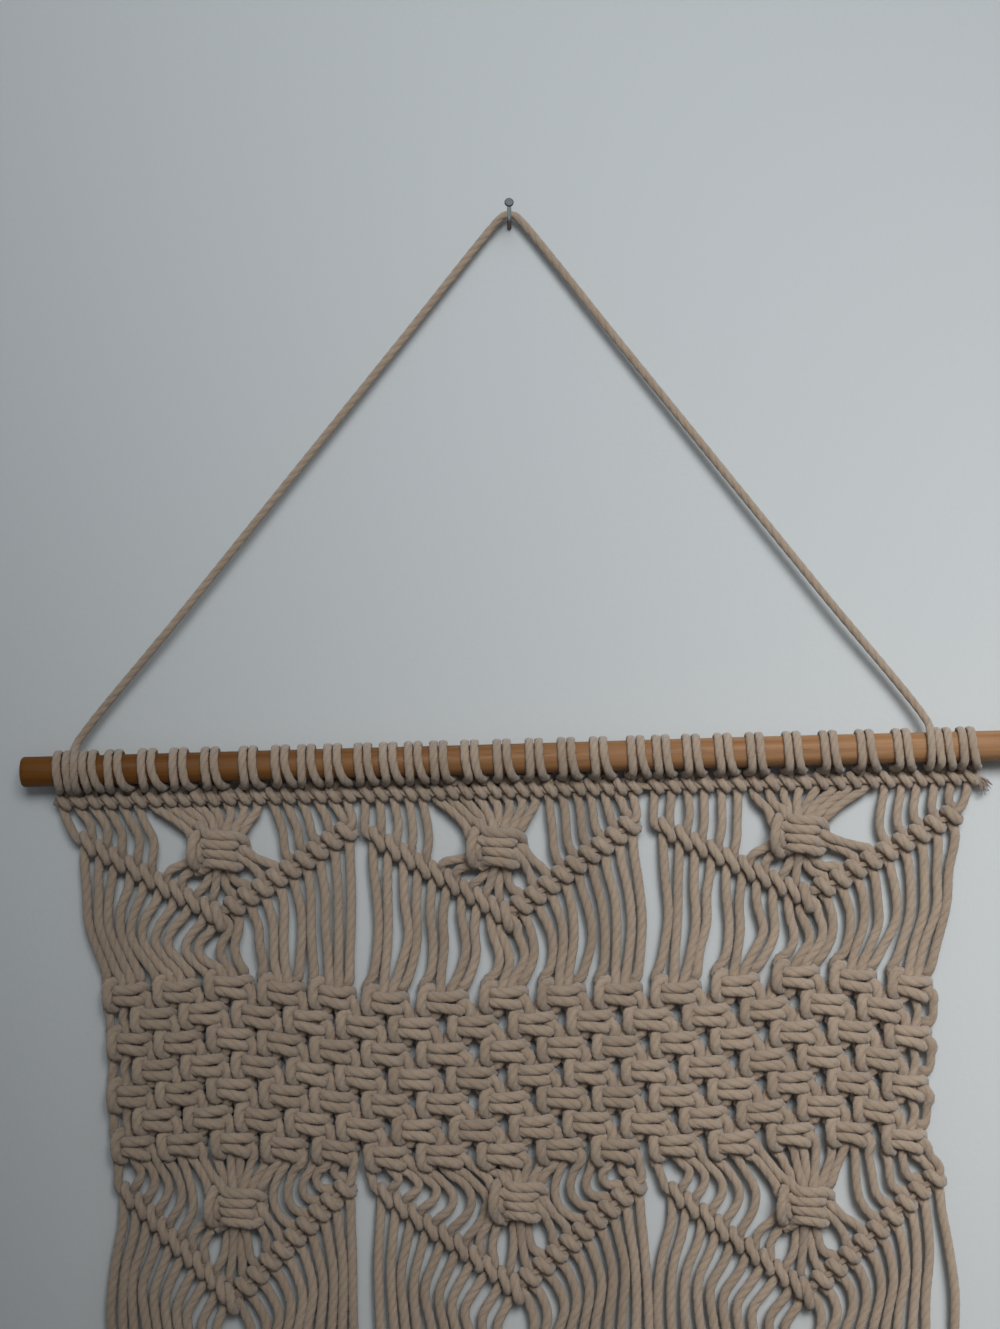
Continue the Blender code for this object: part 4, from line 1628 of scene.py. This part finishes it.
@dataclass
class HangingCord:
    """The cord from which the dowel hangs: round the dowel, over the nail and round it again."""

    left_x: float = -177.9
    right_x: float = 161.2
    hitch: float = 8.0
    top: float = 10.1
    apex_y: float = -4.5
    apex_z: float = 4.6
    apex_radius: float = 5.0
    wound: tuple[int, int, int] = (38, 286, 30)      # degrees from the top: start, end and step

    def turn(self, x: float) -> list[np.ndarray]:
        """The turn round the dowel, from the top over the front to the back.

        Args:
            x: its place along the dowel.

        Returns:
            Its points in millimetres.
        """
        return [
            np.array((x, ROD_Y - self.hitch * math.sin(angle), ROD_Z + self.hitch * math.cos(angle)))
            for angle in np.radians(np.arange(*self.wound))
        ]

    def line(self, spacing: float) -> np.ndarray:
        """The cord's middle line.

        Args:
            spacing: the distance between its points.

        Returns:
            The points in millimetres.
        """
        left = np.array((self.left_x, ROD_Y, ROD_Z + self.top))
        right = np.array((self.right_x, ROD_Y, ROD_Z + self.top))
        centre = np.array((0.0, self.apex_y, self.apex_z - self.apex_radius))
        angles = (math.atan2(centre[2] - left[2], centre[0] - left[0]),
                  math.atan2(centre[2] - right[2], right[0] - centre[0]))
        bend = [
            centre + self.apex_radius * np.array((math.sin(angle), 0, math.cos(angle)))
            for angle in (-angles[0], -angles[0] / 2, 0.0, angles[1] / 2, angles[1])
        ]
        legs = [[blend(start, end, part) for part in (0.25, 0.5, 0.75)]
                for start, end in ((left, bend[0]), (bend[-1], right))]
        knots = [*self.turn(self.left_x)[::-1], left, *legs[0], *bend, *legs[1], right,
                 *self.turn(self.right_x)]
        return smooth_line(np.array(knots), spacing)[0]


@dataclass(frozen=True)
class FrayedEnd:
    """The cut end of the heading's holding cord, whose yarns have come apart."""

    x: float = 181.6
    depth: float = 12.4
    yarns: int = 26
    length: float = 6.2
    thick: float = 0.55
    spread: tuple[float, float] = (12.0, 82.0)       # degrees below the level
    apart: float = 0.9           # how far from the cord's middle the yarns start
    aside: float = 0.35          # how far they stand to the wall or the room, over their length
    droop: float = 0.22          # how far their tips hang down, over their length
    seed: int = 3

    def build(self, material: bpy.types.Material) -> bpy.types.Object:
        """Makes the tuft.

        Args:
            material: its finish.

        Returns:
            The piece.
        """
        random = np.random.default_rng(self.seed)
        gathered = CordMesh(Twist(step=0.5, corners=6, plies=1, dip=0.0))
        for yarn in range(self.yarns):
            angle = math.radians(blend(*self.spread, (yarn + random.random()) / self.yarns))
            reach = self.length * random.uniform(0.55, 1.0)
            start = random.uniform(-self.apart, self.apart, 3)
            root = np.array((self.x, self.depth, 0.0)) + start
            aside = random.uniform(-self.aside, self.aside)
            ahead = np.array((math.cos(angle), math.sin(angle), aside))
            sag = np.array((0.0, self.droop, 0.0)) * reach
            points = [root - (1.2, 0.0, 0.0), root, root + ahead * reach * 0.45,
                      root + ahead * reach + sag + random.uniform(-0.5, 0.5, 3)]
            line = to_world(smooth_line(np.array(points), gathered.twist.step)[0])
            thick = np.linspace(self.thick, self.thick * 0.5, len(line))
            tone = random.uniform(0.5, 0.9)
            gathered.add(line, *ring_frames(line), lengths_along(line), tone, thick)
        return gathered.build("frayed_end", material)


# ---------------------------------------------------------------------------------------------
# The whole
# ---------------------------------------------------------------------------------------------


@dataclass
class Hanging:
    """The wall hanging with its dowel, cord and nail."""

    twist: Twist = field(default_factory=Twist)
    net: Net = field(default_factory=Net)
    cord: HangingCord = field(default_factory=HangingCord)

    def build(self) -> None:
        """Makes every piece and lets it ride on the one body."""
        cotton = TwistedCotton().material()
        hanging_line = self.cord.line(self.twist.step)
        net = {section: gathered.build(section.value, cotton)
               for section, gathered in self.swept_net(hanging_line).items()}
        for section, piece in net.items():
            self.dress(piece, "cotton_cord", section.nodes())
        self.hang(hanging_line, cotton)
        frayed = FrayedEnd().build(cotton)
        self.dress(frayed, "cotton_cord", ["cord_end"])
        self.dress(Dowel().build(StainedWood().material()), "rod_wood", ["rod"])
        self.dress(WallNail().build(DrawnSteel().material()), "nail_steel", ["nail"])
        rows = ([net[Section.LOOPS], net[Section.HEADING]], [], [frayed])
        band = ([], [net[Section.BAND_TOP], net[Section.BAND_LOW]], [])
        for number in range(3):
            self.openwork(net[UPPER[number]], "dowel", rows[number])
            self.openwork(net[LOWER[number]], Section.BAND_LOW.value, band[number])
            self.openwork(net[FRINGE[number]], LOWER[number].value, [])

    @staticmethod
    def dress(piece: bpy.types.Object, slot: str, nodes: list[str]) -> None:
        """Lets a piece ride on the body, in the place of its CAD nodes.

        Args:
            piece: the piece.
            slot: the name of its finish; not used.
            nodes: the CAD nodes that it stands for.
        """
        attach(piece, BODY)
        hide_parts(*nodes)
        LOG.info("%s: %d faces", piece.name, len(piece.data.polygons))

    def swept_net(self, hanging_line: np.ndarray) -> dict[Section, CordMesh]:
        """Lays the net's cords, presses them apart and sweeps them.

        Args:
            hanging_line: the hanging cord's middle line, which the cords keep off.

        Returns:
            The swept cords of each piece.
        """
        self.net.lay()
        lines, marks, sizes = [], [], []
        for strand in self.net.cords():
            line, place = smooth_line(np.array(strand.points), self.twist.step)
            lines.append(to_world(line))
            marks.append(strand.marks(place))
            sizes.append(np.interp(place, np.arange(len(strand.sizes)), strand.sizes))
        taut = np.full(len(hanging_line), CORD)
        pressing = Pressing()
        pressed = pressing.press([*lines, hanging_line], [*sizes, taut], fixed=1)[:-1]
        meshes = {section: CordMesh(self.twist) for section in Section}
        length = sum(self.sweep(*cord, meshes) for cord in zip(pressed, marks, sizes))
        LOG.info("net cord in all: %.2f m", length * MM)
        loops = meshes[Section.LOOPS]
        loops.places = [drawn_flat(skin) for skin in loops.places]
        return meshes

    @staticmethod
    def openwork(piece: bpy.types.Object, above: str, rows: list[bpy.types.Object]) -> None:
        """Logs the size of a piece of the net; laid flat, it is a little wider than it hangs.

        Args:
            piece: the piece.
            above: the name of what it hangs from; not used.
            rows: the closely knotted pieces that go with it; not used.
        """
        places = np.empty(len(piece.data.vertices) * 3, np.float32)
        piece.data.vertices.foreach_get("co", places)
        spread = np.ptp(places.reshape(-1, 3), axis=0) * (DRAWN_IN, 1.0, 1.0)
        width, _, length = spread.tolist()
        LOG.info("%s: %.0f x %.0f mm", piece.name, width / MM, length / MM)

    def sweep(self, line: np.ndarray, mark: list[Section], size: np.ndarray,
              meshes: dict[Section, CordMesh]) -> float:
        """Sweeps one cord into the pieces that it runs through.

        Args:
            line: its middle line.
            mark: the piece of each point.
            size: its diameter at each point.
            meshes: the pieces being gathered.

        Returns:
            The cord's length.
        """
        across, other = ring_frames(line)
        along = lengths_along(line)
        tone = float(np.clip(0.5 + self.net.wander(0.16), 0.1, 0.9))
        start = 0
        for index in range(1, len(line) + 1):
            if index == len(line) or mark[index] != mark[start]:
                part = slice(start, min(index + 1, len(line)))
                if index - start > 1:
                    meshes[mark[start]].add(
                        line[part], across[part], other[part], along[part], tone, size[part]
                    )
                start = index
        return float(along[-1])

    def hang(self, line: np.ndarray, material: bpy.types.Material) -> None:
        """Args:
            line: its middle line.
            material: its finish.
        """
        gathered = CordMesh(self.twist)
        along = lengths_along(line)
        gathered.add(line, *ring_frames(line), along, 0.5, np.full(len(line), CORD))
        piece = gathered.build("hanging_cord", material)
        self.dress(piece, "cotton_cord", ["hanger_cord"])
        LOG.info("hanging cord: %.3f m", along[-1] * MM)


@dataclass(frozen=True)
class Lamp:
    """A soft square lamp."""

    name: str
    place: Point                 # in metres, as is the aim
    aim: Point
    size: float                  # the length of its sides
    spread: float                # how wide its light spreads, in degrees
    power: float
    colour: Colour

    def build(self) -> None:
        """Makes the lamp and turns it to its aim."""
        data = bpy.data.lights.new(self.name, "AREA")
        data.size = self.size
        data.spread = math.radians(self.spread)
        data.energy = self.power
        data.color = self.colour
        made = bpy.data.objects.new(self.name, data)
        made.location = self.place
        direction = Vector(self.aim) - Vector(self.place)
        made.rotation_euler = direction.to_track_quat("-Z", "Y").to_euler()
        bpy.context.collection.objects.link(made)


@dataclass(frozen=True)
class Studio:
    """Camera, wall, floor and lights, in metres."""

    away: float = 1.0
    roll: float = 0.02666
    aim: tuple[float, float] = (-0.0084, -0.1754)
    lens: float = 67.72
    sensor: float = 36.0
    half_width: float = 3.0
    floor_z: float = -1.4
    wall_top: float = 2.2
    wall_y: float = 0.0006
    floor_ends: tuple[float, float] = (-4.0, 1.5)
    wall_colour: Colour = (0.60, 0.625, 0.63)
    floor_colour: Colour = (0.62, 0.62, 0.61)
    air_colour: Colour = (0.80, 0.85, 0.9)
    air_strength: float = 0.191
    lamps: tuple[Lamp, ...] = (
        Lamp("window", (0.46, -1.113, 0.166), (0.378, 0, -0.483), 0.629, 46.0, 1.34,
             (1.0, 0.99, 0.975)),
        Lamp("room", (0.108, -1.046, 0.481), (0.047, 0, 0.118), 0.768, 45.0, 1.21,
             (0.94, 0.975, 1.0)),
    )

    def camera(self) -> None:
        """The camera, level and square to the wall but for a small roll."""
        data = bpy.data.cameras.new("camera")
        data.sensor_fit = "VERTICAL"
        data.sensor_height = self.sensor
        data.lens = self.lens
        data.clip_start = 0.01
        made = bpy.data.objects.new("camera", data)
        level = math.sqrt(1 - self.roll ** 2)
        right, up = Vector((level, 0, -self.roll)), Vector((self.roll, 0, level))
        back = right.cross(up)
        place = Vector((self.aim[0], NET_Y * MM - self.away, self.aim[1]))
        made.matrix_world = Matrix((
            *[(right[axis], up[axis], back[axis], place[axis]) for axis in range(3)],
            (0, 0, 0, 1),
        ))
        bpy.context.collection.objects.link(made)
        bpy.context.scene.camera = made

    @staticmethod
    def plane(name: str, corners: Sequence[Point], material: bpy.types.Material) -> None:
        """A flat backdrop.

        Args:
            name: its name.
            corners: its four corners, in the order that makes it face the room.
            material: its finish.
        """
        shape = bmesh.new()
        shape.faces.new([shape.verts.new(corner) for corner in corners])
        mesh = bpy.data.meshes.new(name)
        shape.to_mesh(mesh)
        shape.free()
        mesh.materials.append(material)
        made = bpy.data.objects.new(name, mesh)
        bpy.context.collection.objects.link(made)

    def build(self) -> None:
        """Sets the wall, the floor and the lights."""
        wide, low, (front, rear) = self.half_width, self.floor_z, self.floor_ends
        wall = [(-wide, low), (wide, low), (wide, self.wall_top), (-wide, self.wall_top)]
        floor = [(-wide, front), (wide, front), (wide, rear), (-wide, rear)]
        self.plane("wall", [(x, self.wall_y, z) for x, z in wall],
                   Paint("wall_paint", self.wall_colour, True).material())
        self.plane("floor", [(x, y, low) for x, y in floor],
                   Paint("floor_paint", self.floor_colour, False).material())
        for lamp in self.lamps:
            lamp.build()
        world = bpy.data.worlds.new("room")
        world.use_nodes = True
        ground = world.node_tree.nodes["Background"]
        ground.inputs["Color"].default_value = (*self.air_colour, 1.0)
        ground.inputs["Strength"].default_value = self.air_strength
        bpy.context.scene.world = world
        bpy.context.scene.view_settings.view_transform = "Standard"


def main() -> None:
    """Builds the scene."""
    logging.basicConfig(level=logging.INFO, format="%(message)s")
    studio = Studio()
    studio.camera()
    Hanging().build()
    studio.build()
    bpy.context.view_layer.update()


if __name__ == "__main__":
    main()
